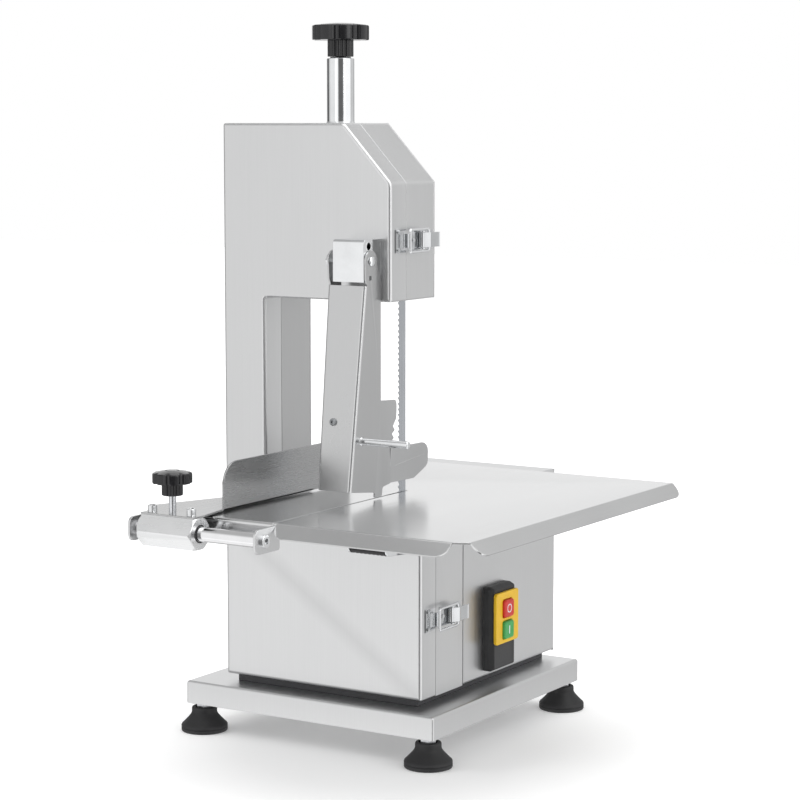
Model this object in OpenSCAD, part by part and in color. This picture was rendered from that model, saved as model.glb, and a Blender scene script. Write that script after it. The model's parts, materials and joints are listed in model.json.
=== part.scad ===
// Bench-top bone saw: a band blade runs over two wheels in a C-shaped stainless frame.
// Lengths are in millimetres. +X is the operator's right, -Y is the front and +Z is up.
// Inside the modules X and Y count from the middle of the base tray, and place() moves them
// so that the origin is under the middle of the whole machine, on the surface it stands on.

/* [Base] */
// Width of the base tray
base_w = 341; // [339:1:345]
// Depth of the base tray
base_d = 347; // [345:1:351]
// Height of the base tray's rim
base_h = 27; // [24:1:28]
// Height of the tray's underside above the bench
base_z = 34; // [34:1:36]
// Diameter of a rubber foot
foot_d = 55; // [50:1:60]

/* [Cabinet] */
// Width of the motor cabinet
cabinet_w = 268.4; // [268:0.1:270]
// Distance from the base's middle to the cabinet's left side
cabinet_left = 129; // [128:0.5:130]
// Distance from the base's middle to the doors' front face
front_y = 149.2; // [148:0.1:150]
// Distance from the base's middle to the cabinet's rear face
rear_y = 166; // [164:1:168]
// Height of the cabinet's underside
cabinet_z = 70; // [70:1:71]
// Depth of the front frame and the head
frame_depth = 95; // [94:1:96]
// Depth of the door shells
door_depth = 33.2; // [33:0.1:33.4]
// Thickness of the sheet steel
sheet = 1.5; // [1.5:0.1:1.8]

/* [Head] */
// Width of the head, column included
head_w = 229; // [228:0.5:230]
// Height of the head's flat top
head_top = 717; // [716:0.5:718]
// Height of the head's underside
head_floor = 518.5; // [517:0.5:519]
// Width of the slope at the head's top right
slope_w = 62.5; // [60:0.5:63]
// Height of the slope at the head's top right
slope_h = 66.5; // [64:0.5:67]
// Width of the column
column_w = 58; // [57.5:0.5:58.5]

/* [Table] */
// Height of the table's top face
table_z = 298.2; // [298:0.1:298.4]
// Distance from the base's middle to the table's right edge
table_right = 318; // [312:1:324]
// Distance from the base's middle to the table's front edge
table_front = 355; // [354:1:356]
// Distance from the base's middle to the table's rear edge
table_rear = 125; // [118:1:130]
// Width of the splayed lips
lip_w = 19; // [16:1:20]

/* [Blade] */
// Diameter of the two band wheels
wheel_d = 162.4; // [162:0.2:162.6]
// Height of the lower wheel's axis
lower_z = 165; // [164:1:167]
// Height of the upper wheel's axis
upper_z = 617; // [616:1:618]
// Width of the blade
blade_w = 16; // [13:1:16]
// Thickness of the blade
blade_t = 0.6; // [0.5:0.1:0.6]

/* [Fence] */
// Length of the fence plate
fence_len = 250; // [200:5:255]
// Height of the fence plate above the slide block
fence_h = 52; // [40:1:54]
// Diameter of the guide rod
rod_d = 16; // [14:1:18]
// Width across flats of the slide block
block_af = 34; // [32:1:34]

/* [Knobs] */
// Diameter of the tension knob
tension_knob_d = 65; // [55:1:70]
// Diameter of the fence lock knob
lock_knob_d = 43; // [38:1:46]
// Number of lobes on a knob
lobes = 8; // [6:1:9]

/* [Pusher] */
// Width of the pusher arm
arm_w = 49; // [47:0.5:49]
// Length of the pusher's hand rod
hand_rod_len = 61; // [50:1:70]

/* [Hidden] */
$fn = 64;
// Clearance between parts that move past each other, and round a turning pin
gap = 0.4;
run_fit = 0.06;
// Frame and cabinet faces
left_x = -cabinet_left;
right_x = left_x + cabinet_w;
seam_y = -front_y + door_depth;
frame_y = seam_y + gap;
back_y = -front_y + frame_depth;
head_x = left_x + head_w;
column_x = left_x + column_w;
tray_top = base_z + base_h;
cabinet_top = table_z - 2;
door_top = 256.5;
cover_z = 304;
// Wheels and blade
wheel_x = 1.5;
wheel_y = -99;
wheel_r = wheel_d / 2;
shaft_r = 9.5;
axle_r = 7.5;
bearing_r = 17.5;
tension_rod_r = 6;
band_r = wheel_r + gap;
blade_x = wheel_x + band_r + blade_t / 2;
slot_half = 1.5;
// Feet
foot_x = base_w / 2 - 15;
foot_y = base_d / 2 - 15;
foot_r = foot_d / 2;
pad_h = 31.5;
pad_floor = 27;
stud_r = 5;
stud_in = 14;
// Fence
rod_y = -table_front - 24;
rod_z = 283;
rod_r = rod_d / 2;
block_x0 = -68;
block_x1 = 5.5;
block_top = rod_z + block_af / 2;
fence_x = -4.9;
fence_y = -325;
lock_x = -31;
lock_stud_r = 3.9;
bolt_xs = [lock_x - 27, lock_x + 25];
bolt_r = 3;
tab_x0 = -80;
tab_x1 = 85;
tab_t = 3;
tab_reach = 18.5;
// Pusher, at rest
pivot_y = -171;
pivot_z = 565;
pivot_r = 4;
arm_x1 = 88.8;
arm_x0 = arm_x1 - arm_w;
arm_t = 2;
web_top = [-183.1, 538.3];
web_foot = [-215.4, 312.4];
// From the web's front face to the walls' front edges
web_in = [0.4, -0.06];
arm_back_y = -151.5;
arm_taper = 6.5;
bracket_x0 = 45.6;
bracket_x1 = 86.4;
// Latches: side face and height of each
latch_places = [[head_x, 586], [right_x, 160]];
latch_pin = [5, -90];
latch_pin_r = 1.5;
bail_pin = [9, -82];
bail_y = -122;
bail_r = 1.6;
bail_half = 12.5;
// Lower door hinge
hinge_x = left_x - 4.5;
hinge_y = seam_y + gap / 2;
knuckle_r = 3.6;
hinge_pin_r = 1.5;
hinge_heights = [92, 205];
hinge_len = 30;
// Cable gland
gland_x = 95;
gland_z = 100;
// Switch
switch_x = 14.1;
switch_y0 = -9;
switch_y1 = 45;
button_y = 18;
button_zs = [125, 150.5];
// The machine's outermost points, for the origin
far_left = -foot_x - foot_r;
far_right = table_right + lip_w * cos(45);
far_front = rod_y - lock_knob_d / 2;
far_back = foot_y + foot_r;

// ---- Helpers ----

// Moves the machine so that the origin is under the middle of its whole footprint
module place() {
    translate([-(far_left + far_right) / 2, -(far_front + far_back) / 2, 0])
        children();
}

// A block between two corners
module block(low, high) {
    translate(low)
        cube(high - low);
}

// An outline given in X and Z, made solid from y0 back to y1
module slab_y(y0, y1) {
    translate([0, y1, 0])
        rotate([90, 0, 0])
            linear_extrude(y1 - y0)
                children();
}

// An outline given in Y and Z, made solid from x0 to x1
module slab_x(x0, x1) {
    translate([x0, 0, 0])
        rotate([90, 0, 90])
            linear_extrude(x1 - x0)
                children();
}

// An outline given in X and Y, made solid from z0 to z1
module slab_z(z0, z1) {
    translate([0, 0, z0])
        linear_extrude(z1 - z0)
            children();
}

// Turns its children about an axis along Y
module rotate_about(x, z, angle) {
    translate([x, 0, z])
        rotate([0, angle, 0])
            children();
}

// Mirrors its children left to right when the sign is negative
module scale_x(sign) {
    if (sign < 0)
        mirror([1, 0, 0])
            children();
    else
        children();
}

// A round bar along X, Y or Z
module bar_x(y, z, x0, x1, r) {
    translate([x0, y, z])
        rotate([0, 90, 0])
            cylinder(h = x1 - x0, r = r);
}

module bar_y(x, z, y0, y1, r) {
    translate([x, y1, z])
        rotate([90, 0, 0])
            cylinder(h = y1 - y0, r = r);
}

module bar_z(x, y, z0, z1, r) {
    translate([x, y, z0])
        cylinder(h = z1 - z0, r = r);
}

// A square with round corners
module soft_square(size, r) {
    square_in = [size[0] - 2 * r, size[1] - 2 * r];
    translate([0, r])
        square([size[0], square_in[1]]);
    translate([r, 0])
        square([square_in[0], size[1]]);
    for (x = [r, size[0] - r], y = [r, size[1] - r])
        translate([x, y])
            circle(r, $fn = 32);
}

// A turned part whose profile is drawn as [radius, distance], with its axis along +Y
module turned_y(x, z, y) {
    translate([x, y, z])
        rotate([-90, 0, 0])
            rotate_extrude()
                children();
}

// Outline of the head and column in X and Z, drawn inset from the outer faces
function head_outline(z_low, inset) =
    let (
        run = norm([slope_w, slope_h]),
        reach = (slope_h * head_x + slope_w * (head_top - slope_h)) / run - inset,
        side_z = (reach - slope_h / run * (head_x - inset)) / (slope_w / run),
        top_x = (reach - slope_w / run * (head_top - inset)) / (slope_h / run)
    )
    [
        [left_x + inset, z_low + inset],
        [column_x - inset, z_low + inset],
        [column_x - inset, head_floor + inset],
        [head_x - inset, head_floor + inset],
        [head_x - inset, side_z],
        [top_x, head_top - inset],
        [left_x + inset, head_top - inset]
    ];

// A star knob: a fluted rim over a round hub, seated at height 0
module star_knob(d, hub_d, hub_h, rim_h) {
    flute_r = d * 0.1;
    cylinder(h = hub_h, d = hub_d);
    translate([0, 0, hub_h])
        linear_extrude(rim_h)
            difference() {
                circle(d = d);
                for (i = [0 : lobes - 1])
                    rotate((i + 0.5) * 360 / lobes)
                        translate([d / 2 + flute_r * 0.35, 0])
                            circle(flute_r, $fn = 32);
            }
    translate([0, 0, hub_h + rim_h])
        cylinder(h = 2.5, d1 = d * 0.86, d2 = d * 0.6);
}

// ---- Base ----

module base_tray() {
    low = [-base_w / 2, -base_d / 2, base_z];
    high = [base_w / 2, base_d / 2, tray_top];
    pad = 48;
    color("silver")
        place()
            difference() {
                union() {
                    difference() {
                        block(low, high);
                        block(
                            low + [sheet, sheet, -1],
                            high - [sheet, sheet, sheet]
                        );
                    }
                    for (sx = [-1, 1], sy = [-1, 1])
                        translate([
                            sx * (base_w / 2 - pad / 2 - sheet / 2),
                            sy * (base_d / 2 - pad / 2 - sheet / 2),
                            base_z + 1
                        ])
                            cube([pad, pad, 2], center = true);
                }
                for (sx = [-1, 1], sy = [-1, 1])
                    bar_z(sx * foot_x, sy * foot_y, base_z - 1, base_z + 5, stud_r + 0.2);
            }
}

module plinth() {
    inset = 10;
    wall = 3;
    low = [left_x + inset, -front_y + inset, tray_top];
    high = [right_x - inset, rear_y - inset, cabinet_z];
    color("dimgray")
        place()
            difference() {
                block(low, high);
                block(low + [wall, wall, -1], high + [-wall, -wall, 1]);
            }
}

// Threaded studs with a jam nut under the tray and one above it
module foot_studs() {
    color("lightsteelblue")
        place()
            for (sx = [-1, 1], sy = [-1, 1])
                translate([sx * foot_x, sy * foot_y, 0]) {
                    translate([0, 0, pad_floor - stud_in])
                        cylinder(h = base_z + 4, r = stud_r);
                    translate([0, 0, pad_floor + gap])
                        cylinder(h = base_z - pad_floor - gap, r = 9.8, $fn = 6);
                    translate([0, 0, base_z + 2])
                        cylinder(h = 6, r = 9.8, $fn = 6);
                }
}

// A rubber levelling pad that swivels on its stud
module foot_pad(sx, sy) {
    base_edge = 8.5;
    neck_r = 15;
    neck_z = 21.5;
    color([0.12, 0.12, 0.12])
        place()
            translate([sx * foot_x, sy * foot_y, 0])
                rotate_extrude()
                    polygon([
                        [0, 0],
                        [foot_r - 1.5, 0],
                        [foot_r, 1.5],
                        [foot_r, base_edge],
                        [neck_r, neck_z],
                        [neck_r, pad_h - 2],
                        [neck_r - 2, pad_h],
                        [10.6, pad_h],
                        [10.6, pad_floor],
                        [stud_r + run_fit, pad_floor],
                        [stud_r + run_fit, pad_floor - stud_in - gap],
                        [0, pad_floor - stud_in - gap]
                    ]);
}

module foot_pad_front_left() {
    foot_pad(-1, -1);
}

module foot_pad_front_right() {
    foot_pad(1, -1);
}

module foot_pad_rear_left() {
    foot_pad(-1, 1);
}

module foot_pad_rear_right() {
    foot_pad(1, 1);
}

// ---- Frame ----

// One plate that carries both wheels, cut to the outline of cabinet, column and head
module frame_back_plate() {
    color("silver")
        place()
            difference() {
                slab_y(back_y - 2, back_y) {
                    polygon(head_outline(cabinet_top - 1, 0));
                    translate([left_x + sheet, cabinet_z + sheet])
                        square([cabinet_w - 2 * sheet, cabinet_top - cabinet_z - 2 * sheet]);
                }
                bar_y(wheel_x, lower_z, back_y - 3, back_y + 1, 25);
            }
}

// Side strips of the column; the left one runs the machine's whole height
module column_shell() {
    apron_top = cover_z - gap;
    color("gainsboro")
        place() {
            block([left_x, frame_y, cabinet_z], [left_x + sheet, back_y - 2, head_top - sheet]);
            block(
                [column_x - sheet, frame_y, cabinet_top],
                [column_x, back_y - 2, head_floor]
            );
            difference() {
                block([left_x, -front_y, cabinet_top], [column_x, frame_y - gap, apron_top]);
                block(
                    [left_x + sheet, -front_y + sheet, cabinet_top - 1],
                    [column_x - sheet, frame_y, apron_top + 1]
                );
            }
        }
}

// The bent strip round the head: underside, right side, slope and top
module head_shell() {
    color("gainsboro")
        place()
            difference() {
                slab_y(frame_y, back_y - 2)
                    difference() {
                        polygon(head_outline(head_floor - 40, 0));
                        polygon(head_outline(head_floor - 40, sheet));
                        translate([left_x - 1, head_floor - 41])
                            square([column_w + 1, head_top - head_floor + 41 - sheet]);
                    }
                block(
                    [blade_x - 5, frame_y - 1, head_floor - 1],
                    [blade_x + 5, wheel_y + blade_w / 2 + 4, head_floor + sheet + 1]
                );
                bar_z(wheel_x, wheel_y, head_top - 5, head_top + 1, 8);
            }
}

// The lower frame: floor, right side and the fixed box under the table
module cabinet_shell() {
    header_z = door_top + gap;
    color("gainsboro")
        place()
            difference() {
                union() {
                    block([left_x + sheet, frame_y, cabinet_z], [right_x, back_y - 2, cabinet_z + sheet]);
                    block([right_x - sheet, frame_y, cabinet_z], [right_x, back_y - 2, cabinet_top]);
                    difference() {
                        block([left_x, -front_y, header_z], [right_x, frame_y, cabinet_top]);
                        block(
                            [left_x + sheet, -front_y + sheet, header_z - 1],
                            [right_x - sheet, frame_y + 1, cabinet_top - sheet]
                        );
                    }
                    block(
                        [left_x + sheet, frame_y, cabinet_top - sheet],
                        [right_x, back_y - 2, cabinet_top]
                    );
                }
                block(
                    [left_x + sheet, -front_y + sheet, cabinet_top - 5],
                    [column_x - sheet, back_y - 2, cabinet_top + 1]
                );
                block(
                    [blade_x - 5, wheel_y - 12, cabinet_top - 5],
                    [blade_x + 5, back_y - 10, cabinet_top + 1]
                );
            }
}

// The wrap behind the frame that holds the motor
module motor_box() {
    low = [left_x, back_y + 0.6, cabinet_z];
    high = [right_x, rear_y - sheet, cabinet_top];
    color("gainsboro")
        place() {
            difference() {
                block(low, high);
                block(low + [sheet, -1, sheet], high + [-sheet, 1, -sheet]);
            }
            for (x = [left_x + sheet, right_x - sheet - 12])
                block([x, back_y, cabinet_z + sheet], [x + 12, back_y + 3, cabinet_top - sheet]);
        }
}

module rear_panel() {
    louvre_w = 70;
    color("silver")
        place()
            difference() {
                block([left_x, rear_y - sheet, cabinet_z], [right_x, rear_y, cabinet_top]);
                for (i = [0 : 6])
                    translate([wheel_x - louvre_w / 2, rear_y, lower_z - 33 + i * 11])
                        rotate([90, 0, 0])
                            linear_extrude(sheet + 2, center = true)
                                soft_square([louvre_w, 4.4], 2);
                bar_y(gland_x, gland_z, rear_y - 3, rear_y + 1, 8);
            }
}

module cable_gland() {
    color([0.15, 0.15, 0.15])
        place()
            difference() {
                union() {
                    bar_y(gland_x, gland_z, rear_y - 8, rear_y, 7.9);
                    translate([gland_x, rear_y + 6, gland_z])
                        rotate([90, 0, 0])
                            cylinder(h = 6, r = 12, $fn = 6);
                    bar_y(gland_x, gland_z, rear_y + 6, rear_y + 16, 9);
                    translate([gland_x, rear_y - sheet, gland_z])
                        rotate([90, 0, 0])
                            cylinder(h = 3.5, r = 12, $fn = 6);
                }
                bar_y(gland_x, gland_z, rear_y - 9, rear_y + 17, 4);
            }
}

// ---- Drive ----

module motor() {
    body_r = 66;
    body_y1 = 112;
    color("slategray")
        place() {
            difference() {
                union() {
                    turned_y(wheel_x, lower_z, back_y)
                        polygon([
                            [0, 0],
                            [62, 0],
                            [62, 8],
                            [body_r, 12],
                            [body_r, body_y1 - back_y],
                            [0, body_y1 - back_y]
                        ]);
                    bar_y(wheel_x, lower_z, back_y - 8, back_y + 1, 22);
                    block(
                        [wheel_x - 38, -10, lower_z + 50],
                        [wheel_x + 38, 72, lower_z + body_r + 26]
                    );
                    for (i = [0 : 23])
                        rotate_about(wheel_x, lower_z, i * 15)
                            block([-1.2, back_y + 14, body_r - 2], [1.2, body_y1 - 6, body_r + 4]);
                }
                bar_y(wheel_x, lower_z, back_y - 9, back_y + 40, shaft_r + run_fit);
            }
            difference() {
                bar_y(wheel_x, lower_z, body_y1, body_y1 + 30, 68);
                bar_y(wheel_x, lower_z, body_y1 - 1, body_y1 + 28, 66);
            }
        }
}

module motor_shaft() {
    color("lightgray")
        place() {
            bar_y(wheel_x, lower_z, wheel_y - 13, back_y + 38, shaft_r);
            bar_y(wheel_x, lower_z, wheel_y - 15.5, wheel_y - 13, 15);
            translate([wheel_x, wheel_y - 15.5, lower_z])
                rotate([90, 0, 0])
                    cylinder(h = 7, r = 9.2, $fn = 6);
        }
}

// A band wheel: rim with a back flange, thin web with round windows, and a hub
module band_wheel(z, bore_r, hub_r) {
    rim_w = 20;
    difference() {
        turned_y(wheel_x, z, wheel_y)
            polygon([
                [bore_r, -13],
                [hub_r, -13],
                [hub_r, -3],
                [wheel_r - 9, -3],
                [wheel_r - 7, -rim_w / 2],
                [wheel_r, -rim_w / 2],
                [wheel_r, blade_w / 2 + 0.4],
                [wheel_r + 2.6, blade_w / 2 + 0.6],
                [wheel_r + 2.6, rim_w / 2 + 0.6],
                [wheel_r - 7, rim_w / 2 + 0.6],
                [wheel_r - 9, 3],
                [hub_r, 3],
                [hub_r, 13],
                [bore_r, 13]
            ]);
        for (i = [0 : 5])
            rotate_about(wheel_x, z, i * 60 + 30)
                bar_y(0, 49, wheel_y - 5, wheel_y + 5, 13);
    }
}

module lower_wheel() {
    color("lightgray")
        place()
            band_wheel(lower_z, shaft_r, 19);
}

module upper_wheel() {
    color("lightgray")
        place()
            band_wheel(upper_z, bearing_r, 24);
}

module upper_bearings() {
    color("gray")
        place()
            for (y = [wheel_y - 13, wheel_y + 2])
                difference() {
                    bar_y(wheel_x, upper_z, y, y + 11, bearing_r);
                    bar_y(wheel_x, upper_z, y - 1, y + 12, axle_r + run_fit);
                }
}

module upper_axle() {
    color("lightgray")
        place() {
            bar_y(wheel_x, upper_z, wheel_y - 16, wheel_y + 26, axle_r);
            bar_y(wheel_x, upper_z, wheel_y - 16, wheel_y - 13.3, 11);
            bar_y(wheel_x, upper_z, wheel_y + 13.3, wheel_y + 22, 11);
            translate([wheel_x, wheel_y - 16, upper_z])
                rotate([90, 0, 0])
                    cylinder(h = 7, r = 8.1, $fn = 6);
        }
}

// Carriage that lifts the upper wheel; its hook reaches over the wheel to the tension rod
module carriage() {
    half = 26;
    y0 = wheel_y + 22;
    y1 = back_y - 2 - gap;
    color("dimgray")
        place() {
            difference() {
                block([wheel_x - half, y0, upper_z - 34], [wheel_x + half, y1, upper_z + 96]);
                bar_y(wheel_x, upper_z, y0 - 1, y1 - 13, axle_r);
            }
            difference() {
                block([wheel_x - 14, wheel_y - 12, upper_z + 87], [wheel_x + 14, y0, upper_z + 96]);
                bar_z(wheel_x, wheel_y, upper_z + 86, upper_z + 97, tension_rod_r);
            }
        }
}

module carriage_rails() {
    half = 26 + gap;
    y1 = back_y - 2;
    color("dimgray")
        place()
            for (s = [-1, 1])
                translate([wheel_x, 0, 0])
                    scale_x(s) {
                        block([half, wheel_y + 24, upper_z - 62], [half + 8, y1, upper_z + 97]);
                        block(
                            [half - 6, wheel_y + 18, upper_z - 62],
                            [half + 8, wheel_y + 22 - gap, upper_z + 40]
                        );
                        block([half, wheel_y + 21, upper_z - 62], [half + 8, wheel_y + 25, upper_z + 40]);
                    }
}

module tension_rod() {
    color("lightgray")
        place()
            bar_z(wheel_x, wheel_y, upper_z + 87, 819, tension_rod_r);
}

module tension_tube() {
    color("whitesmoke")
        place()
            difference() {
                bar_z(wheel_x, wheel_y, head_top, 790, 15.9);
                bar_z(wheel_x, wheel_y, head_top + 3, 791, 14.2);
                bar_z(wheel_x, wheel_y, head_top - 1, head_top + 4, 8);
            }
}

function helix_point(i, steps, turns, r, low, high) =
    let (a = 360 * turns * i / steps)
    [r * cos(a), r * sin(a), low + (high - low) * i / steps];

function wire_ring(i, steps, turns, r, low, high, wire, sides) =
    let (
        a = 360 * turns * i / steps,
        c = helix_point(i, steps, turns, r, low, high)
    )
    [
        for (k = [0 : sides - 1])
            c + wire * cos(360 * k / sides) * [cos(a), sin(a), 0]
              + wire * sin(360 * k / sides) * [0, 0, 1]
    ];

module helix_wire(r, low, high, turns, wire, sides, per_turn) {
    steps = turns * per_turn;
    rings = [for (i = [0 : steps]) wire_ring(i, steps, turns, r, low, high, wire, sides)];
    points = [for (ring = rings) each ring];
    skin = [
        for (i = [0 : steps - 1], k = [0 : sides - 1])
            [
                i * sides + k,
                (i + 1) * sides + k,
                (i + 1) * sides + (k + 1) % sides,
                i * sides + (k + 1) % sides
            ]
    ];
    start = [for (k = [0 : sides - 1]) k];
    end = [for (k = [0 : sides - 1]) steps * sides + sides - 1 - k];
    polyhedron(points, concat(skin, [start, end]));
}

module tension_spring() {
    color("gray")
        place()
            translate([wheel_x, wheel_y, 0])
                helix_wire(10.5, head_top + 5, 782, 6, 1.7, 6, 14);
}

module spring_cup() {
    color("dimgray")
        place()
            difference() {
                union() {
                    bar_z(wheel_x, wheel_y, 784, 790, 14);
                    bar_z(wheel_x, wheel_y, 790, 791.4, 12);
                }
                bar_z(wheel_x, wheel_y, 783, 792, tension_rod_r + gap);
            }
}

module tension_knob() {
    color([0.1, 0.1, 0.1])
        place()
            translate([wheel_x, wheel_y, 791.8])
                difference() {
                    star_knob(tension_knob_d, 30, 18.7, 17);
                    translate([0, 0, -1])
                        cylinder(h = 31, r = tension_rod_r + run_fit);
                }
}

// The endless blade: two straight runs joined by half circles round the wheels
module blade() {
    color("lightsteelblue")
        place()
            slab_y(wheel_y - blade_w / 2, wheel_y + blade_w / 2)
                difference() {
                    band_loop(band_r + blade_t);
                    band_loop(band_r);
                }
}

module band_loop(r) {
    translate([wheel_x - r, lower_z])
        square([2 * r, upper_z - lower_z]);
    for (z = [lower_z, upper_z])
        translate([wheel_x, z])
            circle(r, $fn = 128);
}

// Slotted blocks that steady the blade above and below the cut
module blade_guides() {
    color("goldenrod")
        place()
            for (z = [head_floor + 6, cabinet_top - 32])
                difference() {
                    union() {
                        block([blade_x - 10, wheel_y - 11, z], [blade_x + 11, wheel_y + 16, z + 20]);
                        block([blade_x - 6, wheel_y + 15, z + 4], [blade_x + 6, back_y - 2, z + 16]);
                    }
                    block(
                        [blade_x - 0.9, wheel_y - 12, z - 1],
                        [blade_x + 0.9, wheel_y + blade_w / 2 + 0.5, z + 21]
                    );
                }
}

// ---- Table ----

// A flat lip with round lower corners, from the origin along X
module lip(length) {
    r = lip_w * 0.8;
    linear_extrude(2)
        difference() {
            square([length, lip_w]);
            for (end = [0, 1])
                translate([end * length, lip_w])
                    difference() {
                        square(2 * r, center = true);
                        translate([end > 0 ? -r : r, -r])
                            circle(r);
                    }
        }
}

module table_top() {
    t = 2;
    left = -45;
    bevel = 16;
    notch_x = 88;
    lip_start = 9;
    flange_h = 16;
    low_z = table_z - t;
    color("whitesmoke")
        place() {
            difference() {
                translate([0, 0, low_z])
                    linear_extrude(t)
                        polygon([
                            [left, -table_front],
                            [table_right - bevel, -table_front],
                            [table_right, -table_front + 7],
                            [table_right, table_rear],
                            [left_x, table_rear],
                            [left_x, back_y + gap],
                            [column_x + gap, back_y + gap],
                            [column_x + gap, -front_y - gap],
                            [left, -front_y - gap]
                        ]);
                block(
                    [blade_x - slot_half, -table_front - 5, low_z - 1],
                    [blade_x + slot_half, wheel_y + blade_w / 2 + 3, table_z + 1]
                );
            }
            translate([notch_x, -table_front, table_z])
                rotate([225, 0, 0])
                    lip(table_right - bevel - notch_x);
            translate([table_right, -table_front + lip_start, table_z])
                rotate([225, 0, 90])
                    lip(table_rear + table_front - lip_start);
            block(
                [left, -table_front, table_z - flange_h],
                [blade_x - slot_half, -table_front + t, low_z + 0.5]
            );
        }
}

module table_ribs() {
    z0 = cabinet_top - 12;
    color("silver")
        place() {
            for (x = [0, 190])
                hat_rib([x, -table_front + 8, z0], [x + 24, -front_y - 1, cabinet_top]);
            for (y = [-60, 80])
                hat_rib([right_x + 1, y, z0], [table_right - 14, y + 24, cabinet_top]);
        }
}

// An inverted channel welded under the table
module hat_rib(low, high) {
    along_y = (high[1] - low[1]) > (high[0] - low[0]);
    wall = along_y ? [sheet, -1, sheet] : [-1, sheet, sheet];
    roof = along_y ? [-sheet, 1, 1] : [1, -sheet, 1];
    difference() {
        block(low, high);
        block(low + wall, high + roof);
    }
}

// ---- Fence ----

module rod_bracket() {
    y0 = -table_front + 2;
    tab_h = 13.3;
    color("silver")
        place() {
            difference() {
                block([tab_x0, y0, rod_z - tab_h], [tab_x1 + tab_t, y0 + tab_t, rod_z + tab_h - 2]);
                block(
                    [blade_x - slot_half, y0 - 1, rod_z - tab_h + 8],
                    [blade_x + slot_half, y0 + tab_t + 1, rod_z + tab_h]
                );
            }
            for (x = [tab_x0, tab_x1])
                difference() {
                    slab_x(x, x + tab_t)
                        translate([rod_y - tab_reach, rod_z - tab_h])
                            soft_square([y0 + tab_t - rod_y + tab_reach, 2 * tab_h], 6);
                    bar_x(rod_y, rod_z, x - 1, x + tab_t + 1, 3.3);
                }
        }
}

module guide_rod() {
    color("whitesmoke")
        place()
            difference() {
                bar_x(rod_y, rod_z, tab_x0 + tab_t, tab_x1, rod_r);
                bar_x(rod_y, rod_z, tab_x0, tab_x0 + tab_t + 12, 3);
                bar_x(rod_y, rod_z, tab_x1 - 12, tab_x1 + 1, 3);
            }
}

// Socket screws that clamp the rod between the bracket's tabs
module rod_screws() {
    color("whitesmoke")
        place() {
            rod_screw(tab_x1 + tab_t);
            translate([tab_x0 + tab_x1 + tab_t, 0, 0])
                mirror([1, 0, 0])
                    rod_screw(tab_x1 + tab_t);
        }
}

module rod_screw(x) {
    difference() {
        union() {
            bar_x(rod_y, rod_z, x, x + 3.5, 7);
            bar_x(rod_y, rod_z, x - 14, x + 1, 3);
        }
        translate([x + 1.2, rod_y, rod_z])
            rotate([0, 90, 0])
                cylinder(h = 4, r = 3.4, $fn = 6);
    }
}

module slide_block() {
    len = block_x1 - block_x0;
    corner_r = block_af / 2 / cos(30);
    color("lightgray")
        place()
            difference() {
                intersection() {
                    slab_x(block_x0, block_x1)
                        translate([rod_y, rod_z])
                            circle(corner_r, $fn = 6);
                    translate([block_x0, rod_y, rod_z])
                        rotate([0, 90, 0])
                            rotate_extrude($fn = 96)
                                polygon([
                                    [0, 0],
                                    [block_af / 2 - 1, 0],
                                    [corner_r + 0.5, 4],
                                    [corner_r + 0.5, len - 3],
                                    [block_af / 2 - 0.2, len],
                                    [0, len]
                                ]);
                }
                bar_x(rod_y, rod_z, block_x0 - 1, block_x1 + 1, rod_r + run_fit);
                bar_z(lock_x, rod_y, rod_z, block_top + 1, lock_stud_r + run_fit);
                for (x = bolt_xs)
                    bar_z(x, rod_y, rod_z + rod_r + 1.5, block_top + 1, bolt_r);
            }
}

module fence_plate() {
    t = 2;
    base_z0 = block_top;
    top_z = base_z0 + fence_h;
    front_half = block_af / 2 * tan(30);
    corner = 25;
    rear = fence_y + fence_len;
    color("silver")
        place() {
            difference() {
                translate([0, 0, base_z0])
                    linear_extrude(t)
                        polygon([
                            [block_x0 + 1, rod_y - front_half],
                            [block_x1 - 1, rod_y - front_half],
                            [block_x1 - 1, rod_y + front_half],
                            [fence_x + t, fence_y],
                            [fence_x + t, -front_y - 2],
                            [fence_x - 4, -front_y - 2],
                            [-85, -342],
                            [-83, -350],
                            [block_x0 + 1, rod_y + front_half - 8]
                        ]);
                bar_z(lock_x, rod_y, base_z0 - 1, base_z0 + t + 1, 5);
                for (x = bolt_xs)
                    bar_z(x, rod_y, base_z0 - 1, base_z0 + t + 1, bolt_r + 0.1);
            }
            slab_x(fence_x, fence_x + t)
                difference() {
                    translate([fence_y, base_z0])
                        square([rear - fence_y, top_z - base_z0]);
                    translate([fence_y, top_z])
                        difference() {
                            square(2 * corner, center = true);
                            translate([corner, -corner])
                                circle(corner);
                        }
                }
        }
}

module fence_bolts() {
    z = block_top + 2;
    color("whitesmoke")
        place()
            for (x = bolt_xs) {
                bar_z(x, rod_y, z - 8, z + 1, bolt_r);
                difference() {
                    bar_z(x, rod_y, z, z + 7.5, 5);
                    translate([x, rod_y, z + 4])
                        cylinder(h = 5, r = 2.9, $fn = 6);
                }
            }
}

module lock_knob() {
    color([0.1, 0.1, 0.1])
        place()
            translate([lock_x, rod_y, block_top + 22])
                difference() {
                    star_knob(lock_knob_d, 23, 13, 11.5);
                    translate([0, 0, -1])
                        cylinder(h = 15, r = lock_stud_r);
                }
}

module lock_stud() {
    color("whitesmoke")
        place()
            bar_z(lock_x, rod_y, rod_z + rod_r + gap, block_top + 34, lock_stud_r);
}

// ---- Upper cover and pusher ----

module upper_cover() {
    color("gainsboro")
        place()
            difference() {
                slab_y(-front_y, seam_y)
                    polygon(head_outline(cover_z, 0));
                slab_y(-front_y + sheet, seam_y + 1)
                    polygon(head_outline(cover_z, sheet));
            }
}

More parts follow.
